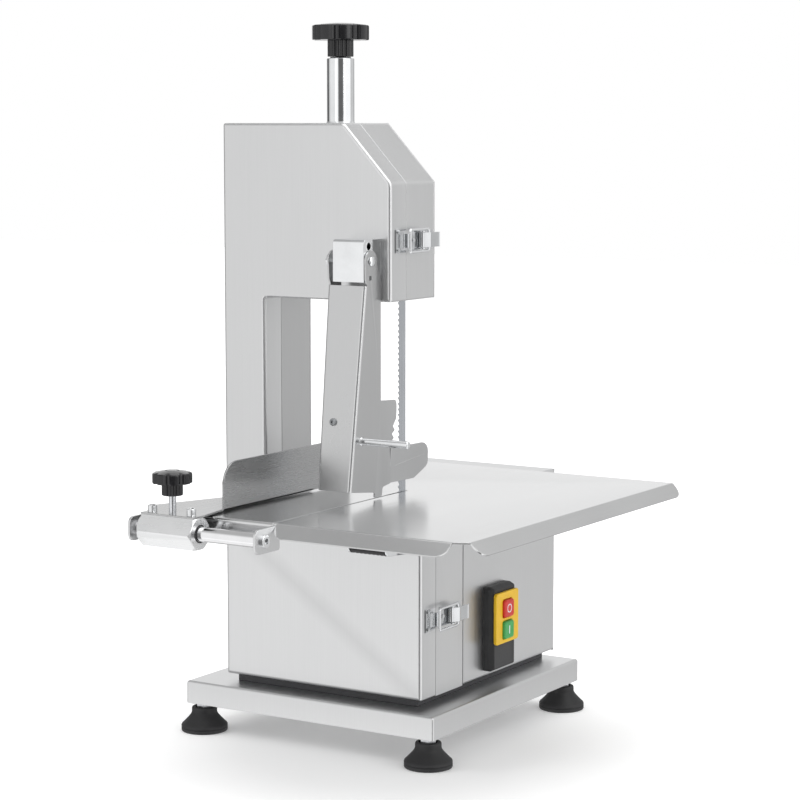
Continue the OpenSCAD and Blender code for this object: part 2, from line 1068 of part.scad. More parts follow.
module pusher_bracket() {
    y0 = -183;
    z0 = 542;
    z1 = 589;
    r = 4.5;
    color("whitesmoke")
        place()
            difference() {
                slab_x(bracket_x0, bracket_x1)
                    union() {
                        translate([y0, z0])
                            square([-front_y - y0, z1 - z0 - r]);
                        translate([y0 + r, z1 - r - 1])
                            square([-front_y - y0 - r, r + 1]);
                        translate([y0 + r, z1 - r])
                            circle(r);
                    }
                bar_x(pivot_y, pivot_z, bracket_x0 - 1, bracket_x1 + 1, pivot_r);
                bar_x(-172.5, 581.5, bracket_x0 - 1, bracket_x1 + 1, 4.2);
            }
}

module pusher_pivot() {
    color("whitesmoke")
        place() {
            bar_x(pivot_y, pivot_z, arm_x0 - 7, arm_x1 + 2, pivot_r);
            bar_x(pivot_y, pivot_z, arm_x1 + gap, arm_x1 + 3.2, 5.4);
            translate([arm_x0 - 6.5, pivot_y, pivot_z])
                rotate([0, 90, 0])
                    cylinder(h = 4.8, r = 7.2, $fn = 6);
        }
}

// Outline of the pusher's right wall: round eye, straight back, toothed nose and foot
module arm_side() {
    tooth_pitch = 8.7;
    tooth_shift = 1.95;
    teeth_y = -126.2;
    teeth_z = 376.9;
    nose_y = -119;
    nose_top = 406.5;
    difference() {
        union() {
            translate([pivot_y, pivot_z])
                circle(12);
            polygon([
                [pivot_y - 10.5, pivot_z - 3],
                [pivot_y + 10.5, pivot_z - 3],
                [arm_back_y, 545],
                [arm_back_y, nose_top + 2],
                [nose_y - 2, nose_top],
                [nose_y, nose_top - 3],
                [nose_y, 386],
                [-131, 340],
                [-131, 312.6],
                [-148.2, 310.2],
                [-149.3, 300.2],
                [-165, 300.2],
                [-163.3, 305.8],
                web_foot + web_in,
                web_top + web_in,
                [pivot_y - 12, web_top[1] + 3]
            ]);
        }
        for (i = [0 : 2])
            translate([teeth_y - i * tooth_shift, teeth_z - i * tooth_pitch])
                polygon([[0, 0], [9.35, -11], [9.35, 11]]);
    }
}

// The wing behind the teeth: low corner cut so that it swings clear of the table
module arm_wing() {
    length = 72;
    difference() {
        union() {
            translate([-1, 313])
                square([length - 11, 40]);
            translate([length - 13, 324])
                square([12, 16]);
            translate([length - 13, 340])
                circle(12.6);
        }
        polygon([
            [44, 312],
            [44, 313.4],
            [length - 1, 326],
            [length + 5, 326],
            [length + 5, 300],
            [44, 300]
        ]);
    }
}

module pusher_arm() {
    web_len = norm(web_top - web_foot);
    web_lean = atan2(web_top[0] - web_foot[0], web_top[1] - web_foot[1]);
    taper_angle = atan2(arm_taper, web_top[1] - web_foot[1]);
    flare = 5;
    color("silver")
        place()
            difference() {
                union() {
                    slab_x(arm_x1 - arm_t, arm_x1)
                        arm_side();
                    translate([arm_x1 - arm_t, -131, 0])
                        rotate([0, 0, -flare])
                            slab_x(0.2, arm_t - 0.2)
                                arm_wing();
                    translate([0, web_foot[0], web_foot[1]])
                        rotate([90 - web_lean, 0, 0])
                            mirror([0, 0, 1])
                                linear_extrude(arm_t)
                                    polygon([
                                        [arm_x0 + arm_taper + 0.4, 0],
                                        [arm_x1 - 0.4, 0],
                                        [arm_x1 - 0.4, web_len],
                                        [arm_x0 + 0.4, web_len]
                                    ]);
                    translate([arm_x0, 0, web_top[1]])
                        rotate([0, -taper_angle, 0])
                            translate([0, 0, -web_top[1]])
                                slab_x(0, arm_t)
                                    left_wall_side();
                }
                bar_x(pivot_y, pivot_z, arm_x0 - 9, arm_x1 + 9, pivot_r + run_fit);
                block([arm_x1 - 5, -175, 544], [arm_x1 + 1, -170.5, 549]);
            }
}

module left_wall_side() {
    translate([pivot_y, pivot_z])
        circle(12);
    polygon([
        [pivot_y - 10.5, pivot_z - 3],
        [pivot_y + 10.5, pivot_z - 3],
        [-158, 545],
        [-163, 310],
        web_foot + web_in,
        web_top + web_in,
        [pivot_y - 12, web_top[1] + 3]
    ]);
}

module pusher_handle() {
    y = -190.8;
    z = 366.8;
    color("whitesmoke")
        place() {
            bar_x(y, z, arm_x1, arm_x1 + hand_rod_len, 4.2);
            bar_x(y, z, arm_x1, arm_x1 + 2, 6);
        }
}

// ---- Lower door ----

module lower_door() {
    low = [left_x, -front_y, cabinet_z];
    high = [right_x, seam_y, door_top];
    color("gainsboro")
        place()
            difference() {
                block(low, high);
                block(low + [sheet, sheet, sheet], high + [-sheet, 1, -sheet]);
            }
}

module door_pull_grip() {
    color([0.1, 0.1, 0.1])
        place() {
            bar_x(-187, 246.6, 73, 120, 6.6);
        }
}

module door_pull_posts() {
    color("silver")
        place()
            for (x = [70.5, 120])
                slab_x(x, x + 2.5) {
                    translate([-187, 246.6])
                        circle(6.6);
                    polygon([[-187, 240], [-front_y, 237], [-front_y, 254.5], [-187, 253.2]]);
                }
}

// The frame's halves of the two door hinges, with their pins
module frame_leaves() {
    half = hinge_len / 2 - 0.2;
    color("silver")
        place()
            for (z = hinge_heights) {
                bar_z(hinge_x, hinge_y, z, z + hinge_len, hinge_pin_r);
                bar_z(hinge_x, hinge_y, z, z + half, knuckle_r);
                block([left_x - 1.4, hinge_y + 1.2, z], [left_x, hinge_y + 18, z + half]);
                block(
                    [hinge_x, hinge_y + knuckle_r - 1.4, z],
                    [left_x, hinge_y + knuckle_r, z + half]
                );
            }
}

// The door's halves, which turn on the pins
module door_leaves() {
    color("silver")
        place()
            for (z = hinge_heights) {
                z0 = z + hinge_len / 2 + 0.2;
                z1 = z + hinge_len;
                difference() {
                    union() {
                        bar_z(hinge_x, hinge_y, z0, z1, knuckle_r);
                        block([left_x - 1.4, hinge_y - 18, z0], [left_x, hinge_y - 1.2, z1]);
                        block(
                            [hinge_x, hinge_y - knuckle_r, z0],
                            [left_x, hinge_y - knuckle_r + 1.4, z1]
                        );
                    }
                    bar_z(hinge_x, hinge_y, z0 - 1, z1 + 1, hinge_pin_r + run_fit);
                }
            }
}

// ---- Latches ----

module latch_bases() {
    color("whitesmoke")
        place()
            for (p = latch_places)
                latch_base(p[0], p[1]);
}

module latch_base(x, z) {
    ear_r = 4.4;
    ear_t = 1.3;
    ear_out = 10.2;
    block([x, -108, z - 11], [x + 1.5, -62, z + 11]);
    for (dz = [-ear_out, ear_out - ear_t])
        slab_z(z + dz, z + dz + ear_t) {
            translate([x, latch_pin[1] - ear_r])
                square([latch_pin[0], 2 * ear_r]);
            translate([x + latch_pin[0], latch_pin[1]])
                circle(ear_r);
        }
    bar_z(x + latch_pin[0], latch_pin[1], z - ear_out, z + ear_out, latch_pin_r);
    for (y = [-103, -67])
        bar_x(y, z, x + 1.4, x + 2.6, 2.5);
}

// Strike plate with its hook, riveted to the door
module strike(x, z) {
    block([x, -139, z - 13], [x + 1.4, -119, z + 13]);
    slab_z(z - 8, z + 8)
        polygon([
            [x + 1, -132],
            [x + 5.9, -121],
            [x + 5.9, -119],
            [x + 4.4, -119],
            [x + 1, -127]
        ]);
    for (dz = [-10, 10])
        bar_x(-134.5, z + dz, x + 1.3, x + 2.8, 2.4);
}

module upper_strike() {
    color("whitesmoke")
        place()
            strike(latch_places[0][0], latch_places[0][1]);
}

module lower_strike() {
    color("whitesmoke")
        place()
            strike(latch_places[1][0], latch_places[1][1]);
}

// Lever of a toggle latch: an eye on the base's pin, an eye for the bail and a curled tip
module latch_lever(x, z) {
    half = 8.3;
    slab_z(z - half, z + half)
        difference() {
            union() {
                translate([x + latch_pin[0], latch_pin[1]])
                    circle(3.1);
                translate([x + bail_pin[0], bail_pin[1]])
                    circle(3);
                polygon([
                    [x + latch_pin[0] - 1.9, latch_pin[1] + 2.4],
                    [x + latch_pin[0] + 1.9, latch_pin[1] - 2.4],
                    [x + bail_pin[0] + 2.7, bail_pin[1] - 1.3],
                    [x + bail_pin[0] + 1.6, -68],
                    [x + bail_pin[0] + 3.2, -62.6],
                    [x + bail_pin[0] + 2, -62],
                    [x + bail_pin[0], -67.4],
                    [x + bail_pin[0] - 0.6, bail_pin[1] + 2.9]
                ]);
            }
            translate([x + latch_pin[0], latch_pin[1]])
                circle(latch_pin_r + run_fit);
            translate([x + bail_pin[0], bail_pin[1]])
                circle(bail_r + run_fit);
        }
}

module upper_latch_lever() {
    color("whitesmoke")
        place()
            latch_lever(latch_places[0][0], latch_places[0][1]);
}

module lower_latch_lever() {
    color("whitesmoke")
        place()
            latch_lever(latch_places[1][0], latch_places[1][1]);
}

// Wire loop that reaches from the lever over the strike
module latch_bail(x, z) {
    pin_x = x + bail_pin[0];
    bar_z(pin_x, bail_pin[1], z - bail_half, z + bail_half, bail_r);
    bar_z(pin_x, bail_y, z - bail_half, z + bail_half, bail_r);
    for (dz = [-bail_half, bail_half]) {
        bar_y(pin_x, z + dz, bail_y, bail_pin[1], bail_r);
        for (y = [bail_y, bail_pin[1]])
            translate([pin_x, y, z + dz])
                sphere(bail_r);
    }
}

module upper_latch_bail() {
    color("whitesmoke")
        place()
            latch_bail(latch_places[0][0], latch_places[0][1]);
}

module lower_latch_bail() {
    color("whitesmoke")
        place()
            latch_bail(latch_places[1][0], latch_places[1][1]);
}

// ---- Switch ----

module button_window(z, slack) {
    translate([button_y - 11 - slack, z - 10.5 - slack])
        soft_square([22 + 2 * slack, 21 + 2 * slack], 3);
}

module switch_housing() {
    z0 = 77;
    z1 = 178;
    color([0.13, 0.13, 0.13])
        place()
            difference() {
                slab_x(right_x, right_x + switch_x)
                    translate([switch_y0, z0])
                        soft_square([switch_y1 - switch_y0, z1 - z0], 4);
                block(
                    [right_x + 2, switch_y0 + 4, 111],
                    [right_x + switch_x + 1, switch_y1 - 4, 168]
                );
            }
}

module switch_bezel() {
    x0 = right_x + switch_x;
    color("gold")
        place()
            slab_x(x0, x0 + 4)
                difference() {
                    translate([switch_y0 + 0.5, 109.5])
                        soft_square([switch_y1 - switch_y0 - 1, 61], 4);
                    for (z = button_zs)
                        button_window(z, gap);
                }
}

module switch_button(z) {
    x0 = right_x + switch_x;
    slab_x(x0 - 7, x0 + 7.5)
        button_window(z, 0);
    block([x0 - 7, button_y - 13, z - 12], [x0 - 5, button_y + 13, z + 12]);
}

module stop_button() {
    color("crimson")
        place()
            switch_button(button_zs[1]);
}

module start_button() {
    color("limegreen")
        place()
            switch_button(button_zs[0]);
}

// ---- Drawing ----

base_tray();
plinth();
foot_studs();
foot_pad_front_left();
foot_pad_front_right();
foot_pad_rear_left();
foot_pad_rear_right();
frame_back_plate();
column_shell();
head_shell();
cabinet_shell();
motor_box();
rear_panel();
cable_gland();
motor();
motor_shaft();
lower_wheel();
upper_wheel();
upper_bearings();
upper_axle();
carriage();
carriage_rails();
tension_rod();
tension_tube();
tension_spring();
spring_cup();
tension_knob();
blade();
blade_guides();
table_top();
table_ribs();
rod_bracket();
guide_rod();
rod_screws();
slide_block();
fence_plate();
fence_bolts();
lock_knob();
lock_stud();
upper_cover();
pusher_bracket();
pusher_pivot();
pusher_arm();
pusher_handle();
lower_door();
door_pull_grip();
door_pull_posts();
frame_leaves();
door_leaves();
latch_bases();
upper_strike();
lower_strike();
upper_latch_lever();
lower_latch_lever();
upper_latch_bail();
lower_latch_bail();
switch_housing();
switch_bezel();
stop_button();
start_button();
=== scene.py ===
"""Looks of the bone saw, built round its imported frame.

Lengths in the tables below are millimetres, and X and Y count from the middle of the base tray.
"""

import json
import math

import bmesh
import bpy
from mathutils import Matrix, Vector


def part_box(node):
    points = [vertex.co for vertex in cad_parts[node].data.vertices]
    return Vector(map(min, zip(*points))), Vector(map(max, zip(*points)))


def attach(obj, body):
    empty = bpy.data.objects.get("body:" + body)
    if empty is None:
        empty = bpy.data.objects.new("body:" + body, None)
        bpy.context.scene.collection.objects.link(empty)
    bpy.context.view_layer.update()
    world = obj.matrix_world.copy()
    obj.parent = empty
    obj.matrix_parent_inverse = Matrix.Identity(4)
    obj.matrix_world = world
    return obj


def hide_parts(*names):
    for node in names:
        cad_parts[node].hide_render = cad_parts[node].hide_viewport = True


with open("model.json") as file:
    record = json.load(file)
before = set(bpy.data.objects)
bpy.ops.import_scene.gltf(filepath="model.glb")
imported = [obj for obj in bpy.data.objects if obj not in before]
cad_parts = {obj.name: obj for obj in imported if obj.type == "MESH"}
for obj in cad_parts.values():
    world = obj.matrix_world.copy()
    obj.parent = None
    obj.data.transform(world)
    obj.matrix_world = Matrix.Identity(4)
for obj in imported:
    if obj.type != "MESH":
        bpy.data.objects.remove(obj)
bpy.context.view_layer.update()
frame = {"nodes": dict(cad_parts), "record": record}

MM = 0.001
SHEET = 1.5
BUMP_DEPTH = 0.0002


def middle(low, high):
    return [(a + b) / 2 for a, b in zip(low, high)]


ORIGIN = Vector((*middle(*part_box("base_tray"))[:2], 0))


def span(node):
    """Lowest and highest corners of a CAD node, in millimetres from the tray's middle."""
    low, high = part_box(node)
    return (low - ORIGIN) / MM, (high - ORIGIN) / MM


# ---- Materials ----


def feed(tree, socket, value):
    """Gives an input a constant, or a link when the value is another node's output."""
    if isinstance(value, bpy.types.NodeSocket):
        tree.links.new(value, socket)
    else:
        socket.default_value = value


def fill(tree, made, **inputs):
    """Feeds a node's inputs by name, with _ for each space."""
    for key, value in inputs.items():
        feed(tree, made.inputs[key.replace("_", " ")], value)


def node_of(tree, kind, operation=None, **inputs):
    made = tree.nodes.new("ShaderNode" + kind)
    if operation:
        made.operation = operation
    fill(tree, made, **inputs)
    return made


def noise_of(tree, coords, scale, stretch=(1, 1, 1), detail=3.0):
    mapped = node_of(tree, "Mapping", Scale=stretch, Vector=coords).outputs["Vector"]
    made = node_of(tree, "TexNoise", Scale=scale, Detail=detail, Roughness=0.55, Vector=mapped)
    return made.outputs["Fac"]


def remap(tree, value, low, high, start=0.3, end=0.7, kind="LINEAR"):
    made = node_of(tree, "MapRange", From_Min=start, From_Max=end, To_Min=low, To_Max=high)
    made.interpolation_type = kind
    fill(tree, made, Value=value)
    return made.outputs["Result"]


def math_of(tree, kind, *values, node="Math"):
    """The first output of a maths node fed with the values in order."""
    made = node_of(tree, node, kind)
    for socket, value in zip(made.inputs, values):
        feed(tree, socket, value)
    return made.outputs[0]


def surface(name, base, rough, cloud, metallic=0.0, grain=None, bump=None, wear_and_sheen=0.0, **sockets):
    """A procedural finish. cloud is (scale, colour swing, roughness swing), grain is (scale,
    stretch, colour swing, roughness swing, bump), bump is (scale, strength) and wear_and_sheen
    lightens sharp edges: wear on most finishes, and a painted highlight on the knobs."""
    made = bpy.data.materials.new(name)
    made.use_nodes = True
    tree = made.node_tree
    shader = tree.nodes["Principled BSDF"]
    fill(tree, shader, Metallic=metallic, **sockets)
    coords = node_of(tree, "TexCoord").outputs["Object"]
    height = None
    scale, swing, rough_swing = cloud
    field = noise_of(tree, coords, scale, detail=4.0)
    tone = remap(tree, field, 1 - swing, 1 + swing)
    roughness = remap(tree, field, rough - rough_swing, rough + rough_swing)
    if grain:
        scale, stretch, swing, rough_swing, lift = grain
        field = noise_of(tree, coords, scale, stretch, detail=2.0)
        lines = remap(tree, field, 1 - swing, 1 + swing)
        tone = math_of(tree, "MULTIPLY", tone, lines)
        swung = remap(tree, field, -rough_swing, rough_swing)
        roughness = math_of(tree, "ADD", roughness, swung)
        height = (field, lift)
    if bump:
        height = (noise_of(tree, coords, bump[0]), bump[1])
    if wear_and_sheen:
        # Sharp edges are lightened: wear on most finishes, and on the knobs a painted highlight
        sharp = node_of(tree, "NewGeometry").outputs["Pointiness"]
        worn_and_lit = remap(tree, sharp, 1.0, 1.0 + wear_and_sheen, 0.51, 0.56)
        tone = math_of(tree, "MULTIPLY", tone, worn_and_lit)
    mixed = node_of(tree, "VectorMath", "SCALE", Scale=tone)
    mixed.inputs[0].default_value = base
    fill(tree, shader, Base_Color=mixed.outputs[0], Roughness=roughness)
    if height:
        relief = node_of(tree, "Bump", Strength=height[1], Distance=BUMP_DEPTH, Height=height[0])
        fill(tree, shader, Normal=relief.outputs["Normal"])
    return made


def steel(name, level, rough, stretch, strength=0.05, swing=0.014):
    """Brushed stainless: fine lines along one direction, soft clouds and edges lightened a little
    as wear.
    """
    colour = (level, level * 1.005, level * 1.01)
    grain = (800, stretch, swing, 2.5 * swing, strength)
    return metal(name, colour, rough, (7, 0.012, 0.025), 0.12, grain)


def metal(name, base, rough, cloud, wear_and_sheen=0.0, grain=None, metallic=1.0):
    return surface(name, base, rough, cloud, metallic, grain, wear_and_sheen=wear_and_sheen)


def moulded(name, base, rough, cloud, bump=None, wear_and_sheen=0.0, **sockets):
    return surface(name, base, rough, cloud, bump=bump, wear_and_sheen=wear_and_sheen, **sockets)


UPRIGHT = (1, 1, 0.012)
ACROSS = (0.012, 1, 1)
DEEP = (1, 0.012, 1)
MILLED = (900, ACROSS, 0.03, 0.05, 0.1)
TURNED = (700, DEEP, 0.04, 0.06, 0.1)
GROUND = (600, UPRIGHT, 0.06, 0.06, 0.1)
ROLLED = (500, UPRIGHT, 0.06, 0.06, 0.06)
GLOSS = {"Specular_IOR_Level": 0.35, "Coat_Weight": 0.3, "Coat_Roughness": 0.05}
SPECKLE, SHINE = (60, 0.08, 0.05), (40, 0.05, 0.05)
MATERIALS = {
    "stainless_brushed": steel("brushed_sheet", 0.66, 0.34, UPRIGHT),
    "table_steel": steel("table_sheet", 0.66, 0.21, DEEP, 0.0, 0.01),
    "fence_steel": steel("fence_sheet", 0.47, 0.27, DEEP, 0.0, 0.006),
    # Darker than the brushed sheet: painted shade where the head shades the inner column
    "shaded_column_steel": steel("shaded_column_sheet", 0.5, 0.34, UPRIGHT),
    "pusher_steel": steel("pusher_sheet", 0.54, 0.31, UPRIGHT, 0.02, 0.01),
    "stainless_bright": metal("bright_stainless", (0.78, 0.79, 0.8), 0.12, SHINE, 0.1),
    "latch_steel": metal("latch_sheet", (0.6, 0.61, 0.62), 0.14, SHINE, 0.2),
    "chrome_rod": metal("chromed_bar", (0.88, 0.88, 0.89), 0.09, (60, 0.03, 0.03)),
    "zinc_steel": metal("zinc_plate", (0.62, 0.63, 0.65), 0.3, (90, 0.1, 0.08), 0.15),
    "aluminium_block": metal(
        "milled_aluminium", (0.85, 0.855, 0.86), 0.3, (30, 0.04, 0.04), 0.1, MILLED
    ),
    "wheel_alloy": metal("turned_alloy", (0.7, 0.71, 0.73), 0.32, (20, 0.05, 0.05), 0, TURNED),
    "slide_steel": metal(
        "oiled_steel", (0.3, 0.31, 0.32), 0.35, (30, 0.1, 0.08), 0.3, GROUND, 0.9
    ),
    "blade_steel": metal("blade_strip", (0.55, 0.57, 0.6), 0.24, (15, 0.06, 0.05), 0, ROLLED),
    "spring_steel": metal("spring_wire", (0.4, 0.41, 0.43), 0.35, (80, 0.15, 0.08)),
    "guide_brass": metal("guide_brass", (0.78, 0.58, 0.26), 0.28, (50, 0.08, 0.07)),
    # The knob's sharp flute edges are lightened a little as a painted highlight
    "black_knob": moulded(
        "knob_plastic", (0.008, 0.008, 0.009), 0.2, (50, 0.2, 0.04), wear_and_sheen=0.4, **GLOSS
    ),
    "black_housing": moulded(
        "housing_plastic", (0.022, 0.022, 0.023), 0.48, (60, 0.2, 0.05), (1800, 0.3), 0.6
    ),
    "black_rubber": moulded(
        "foot_rubber", (0.014, 0.014, 0.015), 0.62, (35, 0.3, 0.08), (1400, 0.35), 0.8
    ),
    "plinth_dark": moulded("plinth_paint", (0.05, 0.05, 0.055), 0.5, (20, 0.2, 0.1)),
    "motor_paint": moulded(
        "motor_enamel", (0.12, 0.15, 0.18), 0.4, (25, 0.12, 0.08), (500, 0.2), 0.4
    ),
    "yellow_plastic": moulded(
        "bezel_yellow", (0.82, 0.5, 0.012), 0.36, (40, 0.06, 0.05), (1500, 0.15)
    ),
    "red_plastic": moulded("button_red", (0.62, 0.03, 0.02), 0.34, SPECKLE, (1500, 0.12)),
    "green_plastic": moulded("button_green", (0.05, 0.36, 0.09), 0.34, SPECKLE, (1500, 0.12)),
    "white_print": moulded(
        "white_moulding", (0.78, 0.79, 0.8), 0.4, (60, 0.05, 0.05), (1200, 0.1)
    ),
}
slot_of = {s["node"]: s["material_slot"] for s in frame["record"]["subparts"]}
body_of = {n: b for b, group in frame["record"]["behaviour"]["bodies"].items() for n in group}
for node_name, node_object in frame["nodes"].items():
    for material_slot in node_object.material_slots:
        material_slot.material = MATERIALS[slot_of[node_name]]


# ---- Mesh helpers ----


def modify(made, kind, **settings):
    added = made.modifiers.new(kind.lower(), kind)
    for key, value in settings.items():
        setattr(added, key, value)


def as_object(bm, name="work"):
    """Puts a bmesh into an object in the scene and frees it."""
    mesh = bpy.data.meshes.new(name + "_raw")
    bm.to_mesh(mesh)
    bm.free()
    made = bpy.data.objects.new(name, mesh)
    bpy.context.scene.collection.objects.link(made)
    return made


def evaluated_bmesh(made, *used):
    """The first object's mesh after its modifiers; all the objects are then removed."""
    bpy.context.view_layer.update()
    out = bmesh.new()
    out.from_object(made, bpy.context.evaluated_depsgraph_get())
    for spent in (made, *used):
        mesh = spent.data
        bpy.data.objects.remove(spent)
        bpy.data.meshes.remove(mesh)
    return out


def weld(bm, dist):
    bmesh.ops.remove_doubles(bm, verts=bm.verts, dist=dist)
    bmesh.ops.recalc_face_normals(bm, faces=bm.faces)


def stand_in(name, bm, node, *rounding, slot=None):
    """A bmesh in millimetres made into the piece that is shown for a CAD node."""
    return piece(name, bm, body_of[node], slot or slot_of[node], *rounding, nodes=[node])


def piece(name, bm, body, slot, *rounding, nodes=(), material=None):
    """A bmesh in millimetres made into a finished piece that rides on a body."""
    weld(bm, 1e-4)
    bmesh.ops.scale(bm, vec=(MM, MM, MM), verts=bm.verts)
    bmesh.ops.translate(bm, vec=ORIGIN, verts=bm.verts)
    return settle(name, bm, body, slot, nodes, material, *rounding)


def settle(name, bm, body, slot, nodes, material, bevel=0.0, segments=2, angle=30):
    """Rounds edges sharper than angle by bevel millimetres, then shades, dresses and seats it."""
    made = as_object(bm, name)
    raw = made.data
    if bevel:
        limit = {"limit_method": "ANGLE", "angle_limit": math.radians(angle)}
        modify(made, "BEVEL", width=bevel * MM, segments=segments, **limit)
    raw.shade_smooth()
    raw.set_sharp_from_angle(angle=math.radians(42))
    modify(made, "WEIGHTED_NORMAL", keep_sharp=True, weight=100)
    bpy.context.view_layer.update()
    evaluated = made.evaluated_get(bpy.context.evaluated_depsgraph_get())
    final = bpy.data.meshes.new_from_object(evaluated)
    final.name = name
    made.modifiers.clear()
    made.data = final
    bpy.data.meshes.remove(raw)
    final.materials.clear()
    final.materials.append(material or MATERIALS[slot])
    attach(made, body)
    if nodes:
        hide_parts(*nodes)
    return made


def softened(node, bevel=0.5, segments=2, material=None):
    """The node's own shape with its edges rounded."""
    source = frame["nodes"][node].data
    bm = bmesh.new()
    corners = [bm.verts.new(v.co) for v in source.vertices]
    for polygon in source.polygons:
        try:
            bm.faces.new([corners[i] for i in polygon.vertices])
        except ValueError:
            pass
    bmesh.ops.remove_doubles(bm, verts=bm.verts, dist=2e-6)
    bmesh.ops.dissolve_limit(bm, angle_limit=math.radians(1), verts=bm.verts, edges=bm.edges)
    bmesh.ops.recalc_face_normals(bm, faces=bm.faces)
    seat = (body_of[node], slot_of[node], [node], material)
    return settle(node + "_soft", bm, *seat, bevel, segments)


def rounded(points, radii, inset=0.0, steps=5):
    """A closed anticlockwise outline with round corners, moved inwards by inset."""
    if isinstance(radii, (int, float)):
        radii = [radii] * len(points)
    out = []
    for i, corner in enumerate(points):
        before = Vector(points[i - 1])
        here = Vector(corner)
        after = Vector(points[(i + 1) % len(points)])
        a = (here - before).normalized()
        b = (after - here).normalized()
        turn = math.atan2(a.x * b.y - a.y * b.x, a.dot(b))
        in_a, in_b = Vector((-a.y, a.x)), Vector((-b.y, b.x))
        mitre = here + (in_a + in_b) * (inset / (1 + in_a.dot(in_b)))
        radius = max(radii[i] - inset if turn > 0 else radii[i] + inset, 0.02)
        side = 1 if turn > 0 else -1
        start = mitre - a * (radius * math.tan(abs(turn) / 2))
        centre = start + in_a * (radius * side)
        arm = start - centre
        for k in range(steps + 1):
            t = turn * k / steps
            c, s = math.cos(t), math.sin(t)
            out.append(centre + Vector((arm.x * c - arm.y * s, arm.x * s + arm.y * c)))
    return out


def face(bm, points):
    bm.faces.new([bm.verts.new(p) for p in points])


def bridge(bm, low, high):
    """Faces between two rings of vertices."""
    for i in range(len(low)):
        j = (i + 1) % len(low)
        bm.faces.new((low[i], low[j], high[j], high[i]))


def circle(centre, u, v, radius, sides):
    turns = [2 * math.pi * k / sides for k in range(sides)]
    return [centre + u * (radius * math.cos(t)) + v * (radius * math.sin(t)) for t in turns]


def stack(bm, rings, cap_start=True, cap_end=True):
    """Skins a list of rings of 3D points."""
    made = [[bm.verts.new(p) for p in ring] for ring in rings]
    for low, high in zip(made, made[1:]):
        bridge(bm, low, high)
    if cap_start:
        bm.faces.new(made[0])
    if cap_end:
        bm.faces.new(made[-1])
    return made


def solid(rings):
    bm = bmesh.new()
    stack(bm, rings)
    return bm


def hoop(rings):
    """Skins rings of points into a closed loop."""
    bm = bmesh.new()
    stack(bm, rings + [rings[0]], cap_start=False, cap_end=False)
    return bm


def levels(place, outline, radii, sections, steps=5):
    """Rings of a round-cornered outline at each (inset, depth) of the sections."""
    return [[place(p.x, p.y, w) for p in rounded(outline, radii, d, steps)] for d, w in sections]


def arc(count):
    return [math.radians(90 * k / count) for k in range(count + 1)]


FRONT = lambda u, v, w: Vector((u, w, v))
TOP = lambda u, v, w: Vector((u, v, w))
SIDE = lambda u, v, w: Vector((w, u, v))


def pan(place, outline, radii, flat, rim, edge):
    """A folded sheet pan: a face at depth flat, walls back to rim and a round bent edge."""
    bm = bmesh.new()
    way = 1 if rim > flat else -1

    def walls(start, radius):
        """Insets and depths of one side of the sheet, from the rim round its bend."""
        turn = [(1 - math.cos(t), 1 - math.sin(t)) for t in arc(5)]
        bent = [(start + radius * u, flat + way * (start + radius * v)) for u, v in turn]
        return [(start, rim), *bent]

    mouths = []
    for group in (walls(0.0, edge), walls(SHEET, max(edge - SHEET, 0.5))):
        mouths.append(stack(bm, levels(place, outline, radii, group), cap_start=False)[0])
    bridge(bm, *mouths)
    return bm


def slab(place, outline, radii, low, high, steps=4):
    """An outline with round corners made solid between two depths."""
    return solid(levels(place, outline, radii, ((0, low), (0, high)), steps))


def lathe(place, profile, segments=64, shape=None):
    """A turned piece of (radius, height) pairs; shape(angle, radius, height) may move a radius."""
    bm = bmesh.new()
    rings = []
    for radius, height in profile:
        if radius <= 0:
            rings.append([bm.verts.new(place(0, 0, height))])
            continue
        ring = []
        for k in range(segments):
            a = 2 * math.pi * k / segments
            r = shape(a, radius, height) if shape else radius
            ring.append(bm.verts.new(place(r * math.cos(a), r * math.sin(a), height)))
        rings.append(ring)
    for low, high in zip(rings, rings[1:]):
        if len(low) == len(high):
            bridge(bm, low, high)
            continue
        for i in range(segments):
            j = (i + 1) % segments
            if len(low) == 1:
                bm.faces.new((low[0], high[j], high[i]))
            else:
                bm.faces.new((low[i], low[j], high[0]))
    return bm


def frame_at(x, y, z, axis="Z", sign=1):
    """A placing function for turned pieces: height runs along the named axis from a point."""
    if axis == "Z":
        return lambda u, v, w: Vector((x + u, y + v, z + sign * w))
    if axis == "X":
        return lambda u, v, w: Vector((x + sign * w, y + u, z + v))
    return lambda u, v, w: Vector((x + u, y + sign * w, z + v))


def rod(points, radius, sides):
    """A round wire along points, with flat ends."""
    spine = [Vector(p) for p in points]
    rings = []
    across = (spine[1] - spine[0]).normalized().orthogonal()
    for i, here in enumerate(spine):
        ahead = (spine[min(i + 1, len(spine) - 1)] - spine[max(i - 1, 0)]).normalized()
        across = (across - ahead * across.dot(ahead)).normalized()
        rings.append(circle(here, across, ahead.cross(across), radius, sides))
    return solid(rings)


def bend(points, radius):
    """Points of a path with its inner corners rounded."""
    out = [Vector(points[0])]
    for before, here, after in zip(points, points[1:], points[2:]):
        here = Vector(here)
        a = (Vector(before) - here).normalized()
        b = (Vector(after) - here).normalized()
        start, end = here + a * radius, here + b * radius
        for t in (k / 5 for k in range(6)):
            out.append(start * (1 - t) ** 2 + here * (2 * t * (1 - t)) + end * t * t)
    out.append(Vector(points[-1]))
    return out


